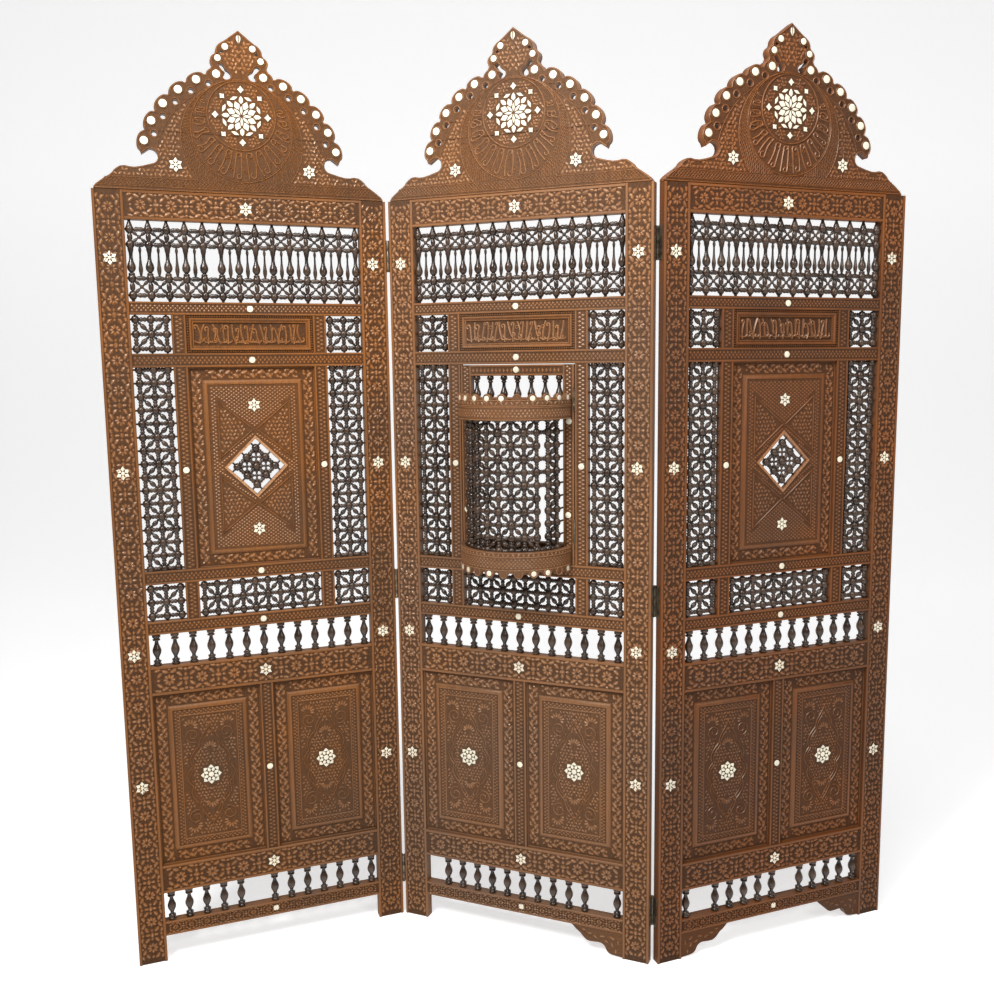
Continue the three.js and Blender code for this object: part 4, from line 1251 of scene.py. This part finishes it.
def plate(loops, front, back, cut, grain="z"):
    """A board with holes: its outline anticlockwise and the holes clockwise. The front edge is worn round,
    and both faces are filled with triangles between the loops."""
    rings = [[nudged(loop, CORNER) for loop in loops], loops, loops]
    depths = [front, front + CORNER, back]
    n = sum(map(len, loops))
    points = np.concatenate([
        np.column_stack([np.concatenate(ring)[:, 0], np.full(n, d), np.concatenate(ring)[:, 1]])
        for ring, d in zip(rings, depths)
    ])
    flat = [[Vector((x, z, 0)) for x, z in loop] for loop in loops]
    tris = np.array(tessellate_polygon(flat))
    corner = np.concatenate(loops)[tris]
    one, two = corner[:, 1] - corner[:, 0], corner[:, 2] - corner[:, 0]
    turned_over = one[:, 0] * two[:, 1] - one[:, 1] * two[:, 0] < 0
    tris[turned_over] = tris[turned_over][:, ::-1]
    starts = np.cumsum([0] + [len(loop) for loop in loops])
    sides = [between(len(loop), start + a, start + a + n)[:, (0, 3, 2, 1)]
             for start, loop in zip(starts, loops) for a in (0, n)]
    cuts = np.repeat([cut, 0.3, 0.6], n)
    return part(points, [tris, np.concatenate(sides), tris[:, ::-1] + 2 * n], cuts, grain)


def away(x, z, loop):
    """How far inside a closed line each point lies: the distance to its nearest side, negative outside."""
    at = np.column_stack([x, z])[:, None]
    a, b = loop[None], np.roll(loop, -1, 0)[None]
    way = b - a
    share = np.clip(((at - a) * way).sum(-1) / (way ** 2).sum(-1), 0, 1)
    gap = np.linalg.norm(at - a - share[..., None] * way, axis=-1).min(1)
    crosses = (a[..., 1] > at[..., 1]) != (b[..., 1] > at[..., 1])
    where = a[..., 0] + (at[..., 1] - a[..., 1]) * way[..., 0] / np.where(way[..., 1] == 0, 1e-9, way[..., 1])
    inside = (crosses & (at[..., 0] < where)).sum(1) % 2 == 1
    return np.where(inside, gap, -gap)


def bars(starts, ends, width, height):
    """Straight raised lines from starts to ends in x and z: a sharp back over two feet, with closed ends."""
    starts, ends = np.asarray(starts, float), np.asarray(ends, float)
    way = (ends - starts) / np.linalg.norm(ends - starts, axis=1)[:, None]
    side = np.column_stack([-way[:, 1], way[:, 0]]) * width / 2
    rise = np.array([-SEAT, height, -SEAT])
    xz = np.stack([starts + side, starts, starts - side, ends + side, ends, ends - side], 1)
    y = np.broadcast_to(np.tile(rise, 2), xz.shape[:2])
    points = np.stack([xz[..., 0], y, xz[..., 1]], -1).reshape(-1, 3)
    quads = np.array([[0, 1, 4, 3], [1, 2, 5, 4], [2, 0, 3, 5]])
    tips = np.array([[2, 1, 0], [3, 4, 5]])
    return part(points, copies((quads, tips), 6, len(starts)), np.tile([0.8, 0.0, 0.8], 2 * len(starts)))


def hatching(low, high, count):
    """Crossed lines between two edges, each edge a row of count places: from place k to the next but one."""
    k = np.arange(count - 2)
    starts = np.concatenate([low[k], low[k + 2]])
    ends = np.concatenate([high[k + 2], high[k]])
    return starts, ends


def crescent_strokes(seed):
    """Raised strokes that stand round the crescent: each rises from near the disc's edge, bends, and ends in
    a hook, in the room between the disc and the crescent's edge at its angle. Some of the long ones have a
    ring beside them."""
    random = np.random.default_rng(seed)
    centre, inner = DISC
    drop = centre[1] - MOON[0][1]
    work = []
    turn = 1
    for degrees in np.arange(-196, 17, 7.4):
        a = math.radians(degrees)
        reach = -drop * math.sin(a) + math.sqrt(MOON[1] ** 2 - (drop * math.cos(a)) ** 2)
        room = reach - inner - 9
        if room < 6:
            continue
        turn = -turn
        hook = min(5.5, room * 0.22) * (0.8 + 0.3 * random.random())
        bend = random.normal(0, 2.2)
        across, along = hooked(room, hook, bend, turn)
        r = inner + 4.5 + along
        work.append(ridge(round_point(centre, r, degrees + np.degrees(across / r)), 4, 2.1))
        if random.random() < 0.45 and room > 22:
            r = inner + 4.5 + room * (0.3 if turn > 0 else 0.7)
            ring = round_point(round_point(centre, r, degrees + 3.7), 3, np.arange(0, 360, 45))
            work.append(ridge(ring, 2.2, 1.6, True))
    return work


def circle(centre, radius, count=72):
    """A circle as a closed line, anticlockwise."""
    return round_point(centre, radius, np.arange(count) * 360 / count)


def crest_carving(outline, seed):
    """All that is raised on a crest's ground, drawn in x from its middle and z from its foot."""
    moon, disc, ring = MOON, DISC, OUTER_RING
    work = [ridge(nudged(outline, 2.4), 3.2, 1.4, True)]
    for centre, radius, width, height in ((moon[0], moon[1] + 1.2, 3, 1.9), (moon[0], moon[1] - 2, 1.6, 1),
                                          (disc[0], disc[1], 3.4, 2.1)):
        work.append(ridge(circle(centre, radius), width, height, True))
    foot, head = FOOT_BAND
    low = math.degrees(math.asin((head - ring[0][1]) / ring[1]))
    work.append(ridge(round_point(ring[0], ring[1], np.linspace(low, 180 - low, 60)), 2.4, 1.4))
    half = math.sqrt(ring[1] ** 2 - (head - ring[0][1]) ** 2)
    for z, gap, reach in ((foot, 0, 296), (head, half, 272)):
        for side in (-1, 1):
            line = np.array([(side * gap, z), (side * reach, z)])
            work.append(ridge(faced(line, side), 2.4, 1.4))

    def beyond(points):
        return np.linalg.norm(points - moon[0], axis=1) > moon[1] + 2

    x = np.arange(-290, 291, 7.3)
    rows = [np.column_stack([x, np.full(len(x), z)]) for z in (foot + 1, head - 1)]
    starts, ends = hatching(*rows, len(x))
    kept = beyond(starts) & beyond(ends) & (np.abs(ends[:, 0]) < 276)
    work.append(bars(starts[kept], ends[kept], 1.9, 1.1))
    turn = np.arange(-100, 280, 3.3)
    near, far = round_point(moon[0], moon[1] + 2, turn), round_point(ring[0], ring[1], turn)
    starts, ends = hatching(near, far, len(turn))
    floor = head + 0.5
    share = np.clip((starts[:, 1] - floor) / np.maximum(starts[:, 1] - ends[:, 1], 1e-6), 0, 1)
    share[ends[:, 1] > floor] = 1
    ends = starts + (ends - starts) * share[:, None]
    long = np.linalg.norm(ends - starts, axis=1) > 6
    kept = long & (starts[:, 1] < 226) & (starts[:, 1] > head + 1)
    work.append(bars(starts[kept], ends[kept], 1.8, 1.1))
    # rings round the bosses and the holes
    for side in (-1, 1):
        for degrees in BOSS_DEGREES:
            at = round_point(LOBE_CENTRE, BOSS_CIRCLE, degrees) * (side, 1)
            work.append(ridge(circle(at, 10.3, 20), 2.6, 1.5, True))
        for degrees in BOSS_DEGREES[:-1] + LOBE_STEP / 2:
            at = round_point(LOBE_CENTRE, HOLE_CIRCLE, degrees) * (side, 1)
            work.append(ridge(circle(at, 7.8, 18), 3, 1.4, True))
        for at in NECK_BOSSES:
            work.append(ridge(circle(np.array(at) * (side, 1), 9.2, 18), 2.2, 1.3, True))
        edge = nudged(np.array(NECK_SLOT, float), -2.2) * (side, 1)
        work.append(ridge(faced(edge, side), 2.4, 1.3, True))
        arc = round_point(LOBE_CENTRE, 179.5, np.linspace(14, 72, 30)) * (side, 1)
        far = np.linalg.norm(arc - ring[0], axis=1) > ring[1] + 3
        work.append(ridge(faced(arc[far], side), 1.8, 1.1))
    work += crescent_strokes(seed)
    # leaf work: over the spandrels, in the disc and up the neck
    slot = np.array(NECK_SLOT, float)

    def free(x, z):
        out = np.hypot(x, z - ring[0][1]) > ring[1] + 5
        boss = np.hypot(x - LOBE_CENTRE[0], z - LOBE_CENTRE[1])
        band_free = (boss < 176) | (z > 250) | (z < 76)
        inside = (away(x, z, slot) < -6) & (away(x, z, outline) > 6.5) & (z > 32)
        places = [(*CREST_STAR, 17), *((*at, 12) for at in NECK_BOSSES), (0, TULIP_HIGH, 11)]
        bone_free = np.all([np.hypot(x - a, z - b) > room for a, b, room in places], 0)
        return out & band_free & bone_free & inside

    def ringed(x, z):
        r = np.hypot(x, z - disc[0][1])
        turn = np.degrees(np.arctan2(z - disc[0][1], x)) % 45
        stone = r * np.radians(np.minimum(turn, 45 - turn))
        return (r > 44.5) & (r < disc[1] - 5) & ((stone > 9) | (np.abs(r - 54) > 10))

    work.append(leaves(arabesque(free, 300, 28, 330, 8.6, 11, seed, 2.2), 1.6))
    work.append(leaves(arabesque(ringed, 70, 92, 232, 7, 8.4, seed + 1, 3), 1.4))
    return work


for leaf in LEAF_YAW:
    outline = crest_outline()
    holes = []
    for side in (-1, 1):
        for k in range(5):
            at = round_point(LOBE_CENTRE, HOLE_CIRCLE, LOBE_FIRST + LOBE_STEP * (k + 0.5)) * (side, 1)
            holes.append(circle(at, 5.3, 16)[::-1])
        slot = rounded(NECK_SLOT + NECK_SLOT[:1], 1)[:-1] * (side, 1)
        holes.append(faced(slot, -side))
        for x, z, lean in DROPS:
            a = math.radians(lean * side)
            drop = circle((0, 0), 1, 10) * (2.6, 4.4)
            turned_drop = np.column_stack([drop[:, 0] * math.cos(a) - drop[:, 1] * math.sin(a),
                                           drop[:, 0] * math.sin(a) + drop[:, 1] * math.cos(a)])
            holes.append((turned_drop + (side * x, z))[::-1])
    middle = (CREST_MIDDLE[leaf], 0, CREST_FOOT)
    parts = [moved(plate([outline, *holes], CREST_GROUND, CREST_FRONT + CREST_THICK, 0.75), middle)]
    parts += [moved(on_face(p, CREST_GROUND), middle) for p in crest_carving(outline, ord(leaf[0]))]
    carved(f"{leaf}_leaf_crest", parts, leaf, [f"{leaf}_crest"])

# ------------------------------------------------------------------ window
# A hinged sash in the middle leaf: a walnut frame with lozenge work and a row of seven small
# balusters over a rail. The curved bay is fixed on its front.

WINDOW = {"body": "window"}
SASH = (172, 437.5, 899.5, 1335)
SASH_STILE = 25
SASH_RAIL = (1238, 1264)
SASH_TOP = 1311
SASH_FOOT = 945.5
BAY_MIDDLE = 304.75
SMALL_VASE = turning([
    (6, 0), (7.6, 0.03), (8.9, 0.12), (8.7, 0.2), (6.6, 0.32), (4.3, 0.45), (3.6, 0.6), (3.8, 0.67),
    (5.8, 0.71), (5.9, 0.75), (4.2, 0.78), (7.2, 0.83), (8.2, 0.89), (7.4, 0.95), (6.6, 1),
], 12)

x0, x1, z0, z1 = SASH
sash = narrow_post(x0, x0 + SASH_STILE, z0, z1) + narrow_post(x1 - SASH_STILE, x1, z0, z1)
for low, high in ((z0, SASH_FOOT), SASH_RAIL, (SASH_TOP, z1)):
    sash += narrow_rail(low, high, x0 + SASH_STILE, x1 - SASH_STILE)
carved("window_sash", sash, "middle", ["middle_window_sash"], **WINDOW)
at = np.column_stack([BAY_MIDDLE + (np.arange(7) - 3) * 32.3, np.full(7, SASH_RAIL[1])])
turned("window_balusters", [upright(SMALL_VASE, at, SASH_TOP - SASH_RAIL[1])], "middle", **WINDOW)

# ------------------------------------------------------------------ bay
# A half round bay on the sash: a scalloped hood and base, each a bent fascia glued round a half round
# board, with the bead lattice bent between them. A strip of the lattice has fallen out on the right.

BAY_FACE = 1.2  # depth of the bay's axis
HOOD = (127, 1219.5, 1274, 1250.5)
BASE = (126, 886, 941, 900)
BAY_THICK = 9.7
BAY_RADIUS = 106.5
BOSS_STEP = 15
SCALLOP = 11.5


def bent(p, radius, depth=0.0):
    """A part drawn flat, bent round the bay's axis: its x becomes an arc at the radius, and what lies behind
    the given depth comes nearer to the axis."""
    x, y, z = p["points"].T
    turn = x / radius
    out = radius - (y - depth)
    points = np.column_stack([BAY_MIDDLE + out * np.sin(turn), BAY_FACE - out * np.cos(turn), z])
    return p | {"points": points}


def strip(x, low, high, front, back, cut):
    """A flat strip with wavy edges: at each x it runs from low to high, between two depths. All closed."""
    n = len(x)
    rows = [(low, front), (high, front), (high, back), (low, back)]
    points = np.concatenate([np.column_stack([x, np.full(n, d), np.broadcast_to(z, n)]) for z, d in rows])
    k = np.arange(n - 1)
    quads = [np.column_stack([k + a * n, k + 1 + a * n, k + 1 + b * n, k + b * n])
             for a, b in ((0, 1), (1, 2), (2, 3), (3, 0))]
    ends = np.array([[0, n, 2 * n, 3 * n], [4 * n - 1, 3 * n - 1, 2 * n - 1, n - 1]])
    return part(points, [np.concatenate(quads), ends], np.repeat([cut, cut, 0.6, 0.6], n), "x")


def half_board(radius, z0, z1):
    """A half round board, from the sash's face forwards."""
    a = np.radians(np.arange(-90, 91, 7.5))
    arc = np.column_stack([BAY_MIDDLE + radius * np.sin(a), BAY_FACE - radius * np.cos(a)])
    return prism(arc, z0, z1, "z", np.full(len(arc), 0.5))


def bay_fascia(size, thick, scalloped_up):
    """A fascia with its board: the scalloped edge is a half circle round each bone boss."""
    radius, z0, z1, foot = size
    x = np.linspace(-90, 90, 145)
    past = np.abs((x % BOSS_STEP) - BOSS_STEP / 2) * math.pi / 180 * radius
    rise = SCALLOP * np.sqrt(np.clip(1 - (past / SCALLOP) ** 2, 0, 1))
    arc = np.radians(x) * radius
    high = z1 - SCALLOP + rise if scalloped_up else np.full(len(x), z1, float)
    low = np.full(len(x), z0, float) if scalloped_up else z0 + SCALLOP - rise
    flat = [strip(arc, low, high, 1.1, thick, 0.7)]
    reach = arc[-1]
    lines = (z0 + 1.4, z0 + 27, z0 + 30, z0 + 42) if scalloped_up else (z1 - 1.4, z1 - 10, z1 - 38)
    for z in lines:
        flat.append(on_face(ridge([(a, z) for a in np.linspace(-reach, reach, 49)], 2.6, 1.3), 1.1))
    field = (z0 + 3.5, z0 + 25.5) if scalloped_up else (z1 - 36.5, z1 - 11.5)
    flat.append(lozenges(-reach + 2, reach - 2, *field, 1.1, (9, 11), 1.3, "x"))
    count = 36
    step = 2 * reach / count
    places = -reach + (np.arange(count) + 0.5) * step
    z = z0 + 36 if scalloped_up else z1 - 5.8
    row = np.zeros((count, 6))
    row[:, 0] = places
    row[:, 1] = z
    row[:, 2] = 35.0 * (-1) ** np.arange(count)
    row[:, 3:5] = (9.5, 4.6)
    flat.append(on_face(leaves(row, 1.2), 1.1))
    edge_z = z1 - 8.5 if scalloped_up else z0 + 9
    for k in np.arange(-5.5, 6):
        centre = (math.radians(k * BOSS_STEP) * radius, edge_z)
        flat.append(on_face(ridge(circle(centre, 8.8, 18), 2.2, 1.2, True), 1.1))
    return [bent(p, radius) for p in flat] + [half_board(radius - BAY_THICK + 0.4, foot, foot + 8)]


carved("window_bay_hood", bay_fascia(HOOD, BAY_THICK, True), "middle", ["middle_bay_hood"], **WINDOW)
carved("window_bay_base", bay_fascia(BASE, BAY_THICK, False), "middle", ["middle_bay_base"], **WINDOW)

columns = np.radians(np.arange(-75, 76, 15)) * BAY_RADIUS
rows = 941.2 + 28 * np.arange(11)
fallen = {(8, k) for k in range(10)}
parted = ((8, 1), (8, 2), (8, 3), (8, 4), (8, 8))
edge = math.pi / 2 * BAY_RADIUS
mesh_work = lattice(columns, rows, -edge, edge, BASE[3] + 7.5, HOOD[3] + 0.5, fallen, 0, parted)
bay_work = [bent(p, BAY_RADIUS, PLANE) for p in mesh_work]
turned("window_bay_lattice", bay_work, "middle", ["middle_bay_lattice"], **WINDOW)

# ------------------------------------------------------------------ bone inlay
# Camel bone let into the walnut and filed flush: six-rayed stars, domed pegs and rosettes. Each ray
# is its own small piece, bedded in dark glue that shows as a fine line.

STAR_AT = ((28, 1562), (28, 1115), (28, 716), (28, 416))
CENTRE_STARS = ((MID, 1253), (MID, 978))
ROSE_SQUARES = (54, 54.5)  # distance of the rosette's loose stones: those on its axes, those between


def slips(outlines, places, front, rise=0.5, dome=0.0):
    """Thin pieces of bone: every outline, a loop about its own middle, set at every place on a face."""
    pieces = []
    places = np.asarray(places, float)
    for outline in outlines:
        outline = np.asarray(outline, float)
        n, count = len(outline), len(places)
        centre = outline.mean(0)
        crown = centre + (outline - centre) * 0.78
        rings = [(outline, -0.6), (outline, rise * 0.6), (crown, rise)]
        own = np.concatenate([np.column_stack([o[:, 0], np.full(n, h), o[:, 1]]) for o, h in rings]
                             + [[[centre[0], rise + dome, centre[1]]]])
        k = np.arange(n)
        quads = np.concatenate([between(n, a, a + n)[:, (1, 2, 3, 0)] for a in (0, n)])
        tris = np.column_stack([k + 2 * n, (k + 1) % n + 2 * n, np.full(n, 3 * n)])
        faces = copies((quads, tris, k[None, ::-1]), 3 * n + 1, count)
        at = np.column_stack([places[:, 0], np.zeros(count), places[:, 1]])
        points = (at[:, None] + own[None]).reshape(-1, 3)
        cut = np.tile(np.repeat([1.0, 0.35, 0.0], n).tolist() + [0.0], count)
        pieces.append(on_face(part(points, faces, cut), front))
    return pieces


def spun(outline, count, first=0.0):
    """An outline turned about its middle into count evenly set ones."""
    outline = np.asarray(outline, float)
    set_round = []
    for k in range(count):
        a = math.radians(first + k * 360 / count)
        set_round.append(outline @ np.array([[math.cos(a), math.sin(a)], [-math.sin(a), math.cos(a)]]))
    return set_round


def bone(name):
    """Old bone: warm cream, greyer in patches, with fine dark pores and a brown line of dirt at its edge."""
    material, tree, shader, place = finish(name)
    patch = noise(tree, place, 40, 3)
    pores = noise(tree, place, 900, 1)
    body = blended(tree, ranged(tree, patch, 0.35, 0.65, 0, 1), (0.78, 0.72, 0.55, 1), (0.66, 0.62, 0.5, 1))
    shade = ramp(tree, pores, [(0.3, (0.5, 0.4, 0.26)), (0.45, (1, 1, 1))])
    body = blended(tree, 0.35, body, shade, "MULTIPLY")
    edge = ranged(tree, carved_depth(tree), 0.3, 0.9, 0, 1)
    body = blended(tree, edge, body, (0.12, 0.07, 0.035, 1))
    tree.links.new(body, shader.inputs["Base Color"])
    shader.inputs["Roughness"].default_value = 0.38
    return material


bone_finish = bone("camel_bone")
RAY = spun([(0, 3.8), (4.5, 8.5), (0, 14.8), (-4.5, 8.5)], 6)
HEXAGON = [round_point((0, 0), 3.8, np.arange(6) * 60 + 30)]
STAR = RAY + HEXAGON
PEG_HEAD = [round_point((0, 0), 6.7, np.arange(16) * 22.5)]
BOSS_HEAD = [round_point((0, 0), 8.2, np.arange(18) * 20)]
ROSETTE = (
    [round_point((0, 0), 5.8, np.arange(16) * 22.5)]
    + spun([(0, 6.6), (3.7, 10.6), (2.2, 15.4), (0, 17), (-2.2, 15.4), (-3.7, 10.6)], 8, 22.5)
    + spun([(0, 15.2), (3.4, 15.6), (5.9, 17), (0, 22.8), (-5.9, 17), (-3.4, 15.6)], 8)
)
GREAT_ROSETTE = (
    spun([(0, 3), (2.3, 8), (2.9, 12), (1.8, 17), (0, 21), (-1.8, 17), (-2.9, 12), (-2.3, 8)], 8)
    + spun([(0, 13.8), (3.4, 17), (6.6, 23.2), (0, 32), (-6.6, 23.2), (-3.4, 17)], 8, 22.5)
    + spun([(0, 24.6), (4.6, 29.5), (3.8, 36), (0, 40.8), (-3.8, 36), (-4.6, 29.5)], 8)
    + spun([(0, 35), (5, 36.6), (8.6, 38.6), (0, 42), (-8.6, 38.6), (-5, 36.6)], 8, 22.5)
)
STONE = spun([(0, -7.6), (3.2, -3.2), (7, 0), (3.2, 3.2), (0, 7.6), (-3.2, 3.2), (-7, 0), (-3.2, -3.2)], 1)
TULIP = [np.array([(s * 0.7, -8.6), (s * 4.6, -1), (s * 4.2, 5), (s * 1.2, 8.6)])[::s] for s in (1, -1)]

for leaf in LEAF_YAW:
    stile_stars = [(x, z) for u, z in STAR_AT for x in (u, LEAF_WIDTH - u - 4)]
    middle = CREST_MIDDLE[leaf]
    rails = [(middle, 1670), (MID, 654.5), (MID, 194)]
    inlay = slips(STAR, stile_stars + rails, 0.9, 0.7)
    dots = [(MID, (a + b) / 2) for a, b in CROSS_RAILS[:4] if leaf != "middle" or b != 898]
    dots += [(x + NARROW / 2, 1116) for x in POSTS] + [(MID, DADO_MIDDLE), (MID, 76.5)]
    inlay += slips(PEG_HEAD, dots, NARROW_FRONT + 0.2, 0.9, 0.9)
    crest_stars = [(middle + s * CREST_STAR[0], CREST_FOOT + CREST_STAR[1]) for s in (-1, 1)]
    inlay += slips(STAR, crest_stars, CREST_FRONT + 0.6, 0.7)
    bosses = np.concatenate([round_point(LOBE_CENTRE, BOSS_CIRCLE, BOSS_DEGREES), NECK_BOSSES])
    bosses = np.concatenate([bosses, bosses * (-1, 1)]) + (middle, CREST_FOOT)
    large = np.tile(np.arange(8) < 6, 2)
    inlay += slips(BOSS_HEAD, bosses[large], CREST_FRONT + 0.3, 1.0, 0.5)
    inlay += slips(PEG_HEAD, bosses[~large], CREST_FRONT + 0.3, 1.0, 0.5)
    heart = np.array([[middle, CREST_FOOT + DISC[0][1]]])
    inlay += slips(GREAT_ROSETTE, heart, CREST_FRONT + 0.7, 0.7)
    square = spun(STONE[0] * 0.86, 1, 45)
    for stone, distance, first in zip((STONE, square), ROSE_SQUARES, (0, 45)):
        around = round_point((0, 0), distance, np.arange(first, 360, 90))
        inlay += slips(stone, heart + around, CREST_FRONT + 0.6, 0.7)
    inlay += slips(TULIP, [(middle, CREST_FOOT + TULIP_HIGH)], CREST_FRONT + 0.6, 0.7)
    if leaf != "middle":
        inlay += slips(STAR, CENTRE_STARS, CENTRE_STEPS[-1][1] - 0.9, 0.7)
    for side in ("left", "right"):
        middle = room_of(f"{leaf}_lower_panel_{side}")[1]
        inlay += slips(ROSETTE, [(middle[0], DADO_MIDDLE)], LOWER_STEPS[-1][1] - 0.9, 0.8)
    made(f"{leaf}_leaf_bone", inlay, leaf, bone_finish, "bone_inlay")

window_dots = [(BAY_MIDDLE, 1324), (426, 1213), (424, 1009), (183, 1012)]
window_bone = slips(PEG_HEAD, window_dots, NARROW_FRONT + 0.2, 0.9, 0.9)
SMALL_HEAD = [round_point((0, 0), 5.9, np.arange(14) * 360 / 14)]
BAY_BOSSES = (  # radius, height and the places of the lost ones, in degrees round the bay
    (HOOD[0], HOOD[2] - 8.5, (22.5,)),
    (BASE[0], BASE[1] + 9, (-22.5, 7.5, 22.5, 67.5)),
)
for radius, height, lost in BAY_BOSSES:
    kept = [k for k in np.arange(-82.5, 83, BOSS_STEP) if k not in lost]
    places = [(math.radians(k) * radius, height) for k in kept]
    window_bone += [bent(p, radius) for p in slips(SMALL_HEAD, places, 0.9, 0.9, 0.6)]
made("window_bone", window_bone, "middle", bone_finish, "bone_inlay", **WINDOW)

# ------------------------------------------------------------------ hinges
# Iron butt hinges: three on each fold of the screen and two on the window. Each has a plate on the
# edge of either stile, and tabs from the plates to knuckles that turn about one axis.

FOLD_HINGE = {"gap": 2.2, "r": 3.0, "plate": 1.2, "width": 17, "height": 70}
WINDOW_HINGE = {"gap": 1.0, "r": 1.9, "plate": 0.7, "width": 14, "height": 52}
FOLD_HEIGHTS = {"upper": 1580, "middle": 827, "lower": 118}
WINDOW_HEIGHTS = {"upper": 1260, "lower": 974}
CLEAR = 0.3


def box(x0, x1, y0, y1, z0, z1):
    """A block between two corners, given in any order across."""
    x0, x1, y0, y1 = min(x0, x1), max(x0, x1), min(y0, y1), max(y0, y1)
    return prism([(x0, y0), (x1, y0), (x1, y1), (x0, y1)], z0, z1, "z", np.full(4, 0.4))


def knuckle(x, y, z, size, part_number):
    """One third of a barrel: part -1 is the lowest and 1 the highest, its ends turned off round."""
    half = size["height"] / 6 - CLEAR / 2
    middle = z + part_number * size["height"] / 3
    r = size["r"]
    barrel = turning([(r * 0.6, -half), (r * 0.86, -half + 0.2), (r, -half + 0.9), (r, half - 0.9),
                      (r * 0.86, half - 0.2), (r * 0.6, half)], 18)
    return moved(barrel | {"cut": barrel["cut"] * 0.4}, (x, y, middle))


def hinge_leaf(x, y, z, size, side, inward, numbers):
    """One leaf of a butt hinge: its plate, the tabs that lead to its knuckles, and the knuckles."""
    half = size["height"] / 6 - CLEAR / 2
    x0 = x + side * (size["gap"] - CLEAR)
    x1 = x0 - side * size["plate"]
    y0, y1 = y + inward * (size["r"] + 2 * CLEAR), y + inward * size["width"]
    edge = size["height"] / 2 - CLEAR / 2
    parts = [box(x0, x1, y0, y1, z - edge, z + edge)]
    for number in numbers:
        middle = z + number * size["height"] / 3
        parts.append(box(x0, x1, y, y0 + inward * 0.2, middle - half, middle + half))
        parts.append(knuckle(x, y, z, size, number))
    return parts


def metal(name, plain, worn, rust):
    """Old iron: dark, rubbed brighter in patches, with rust in small spots."""
    material, tree, shader, place = finish(name)
    patch = noise(tree, place, 90, 4)
    spots = noise(tree, place, 260, 3)
    body = blended(tree, ranged(tree, patch, 0.4, 0.6, 0, 1), (*plain, 1), (*worn, 1))
    share = ranged(tree, spots, 0.56, 0.66, 0, 0.8)
    body = blended(tree, share, body, (*rust, 1))
    tree.links.new(body, shader.inputs["Base Color"])
    tree.links.new(ranged(tree, share, 0, 0.8, 0.85, 0.2), shader.inputs["Metallic"])
    tree.links.new(ranged(tree, patch, 0.3, 0.7, 0.5, 0.34), shader.inputs["Roughness"])
    return material


iron = metal("hinge_iron", (0.075, 0.06, 0.045), (0.24, 0.2, 0.14), (0.07, 0.03, 0.014))
LEFT_EDGE, RIGHT_EDGE = -FOLD_HINGE["gap"], LEAF_WIDTH + FOLD_HINGE["gap"]
IN_FRONT, BEHIND = -2.5, 24.5
FOLDS = (  # leaf, hinge, half, axis in x and y, way to the wood, way across its edge, knuckles
    ("left", "left", "outer", RIGHT_EDGE, IN_FRONT, -1, 1, (-1, 1)),
    ("middle", "left", "inner", LEFT_EDGE, IN_FRONT, 1, 1, (0,)),
    ("middle", "right", "inner", RIGHT_EDGE, BEHIND, -1, -1, (-1, 1)),
    ("right", "right", "outer", LEFT_EDGE, BEHIND, 1, -1, (0,)),
)


def forged(name, parts, leaf, nodes=(), **more):
    """A piece made of the hinges' iron."""
    made(name, parts, leaf, iron, "hinge_metal", nodes=nodes, soft_angle=50, **more)


for leaf, fold, half, x, y, side, inward, numbers in FOLDS:
    for level, z in FOLD_HEIGHTS.items():
        parts = hinge_leaf(x, y, z, FOLD_HINGE, side, inward, numbers)
        forged(f"{fold}_fold_{level}_hinge_{half}", parts, leaf, [f"{fold}_hinge_{level}_{half}"])
axis_x, axis_y = SASH[1] + WINDOW_HINGE["gap"], NARROW_FRONT - 2
for level, z in WINDOW_HEIGHTS.items():
    moving = hinge_leaf(axis_x, axis_y, z, WINDOW_HINGE, -1, 1, (-1, 1))
    forged(f"window_{level}_hinge", moving, "middle", [f"window_hinge_{level}"], **WINDOW)
    forged(f"window_{level}_hinge_fixed", [knuckle(axis_x, axis_y, z, WINDOW_HINGE, 0)], "middle")
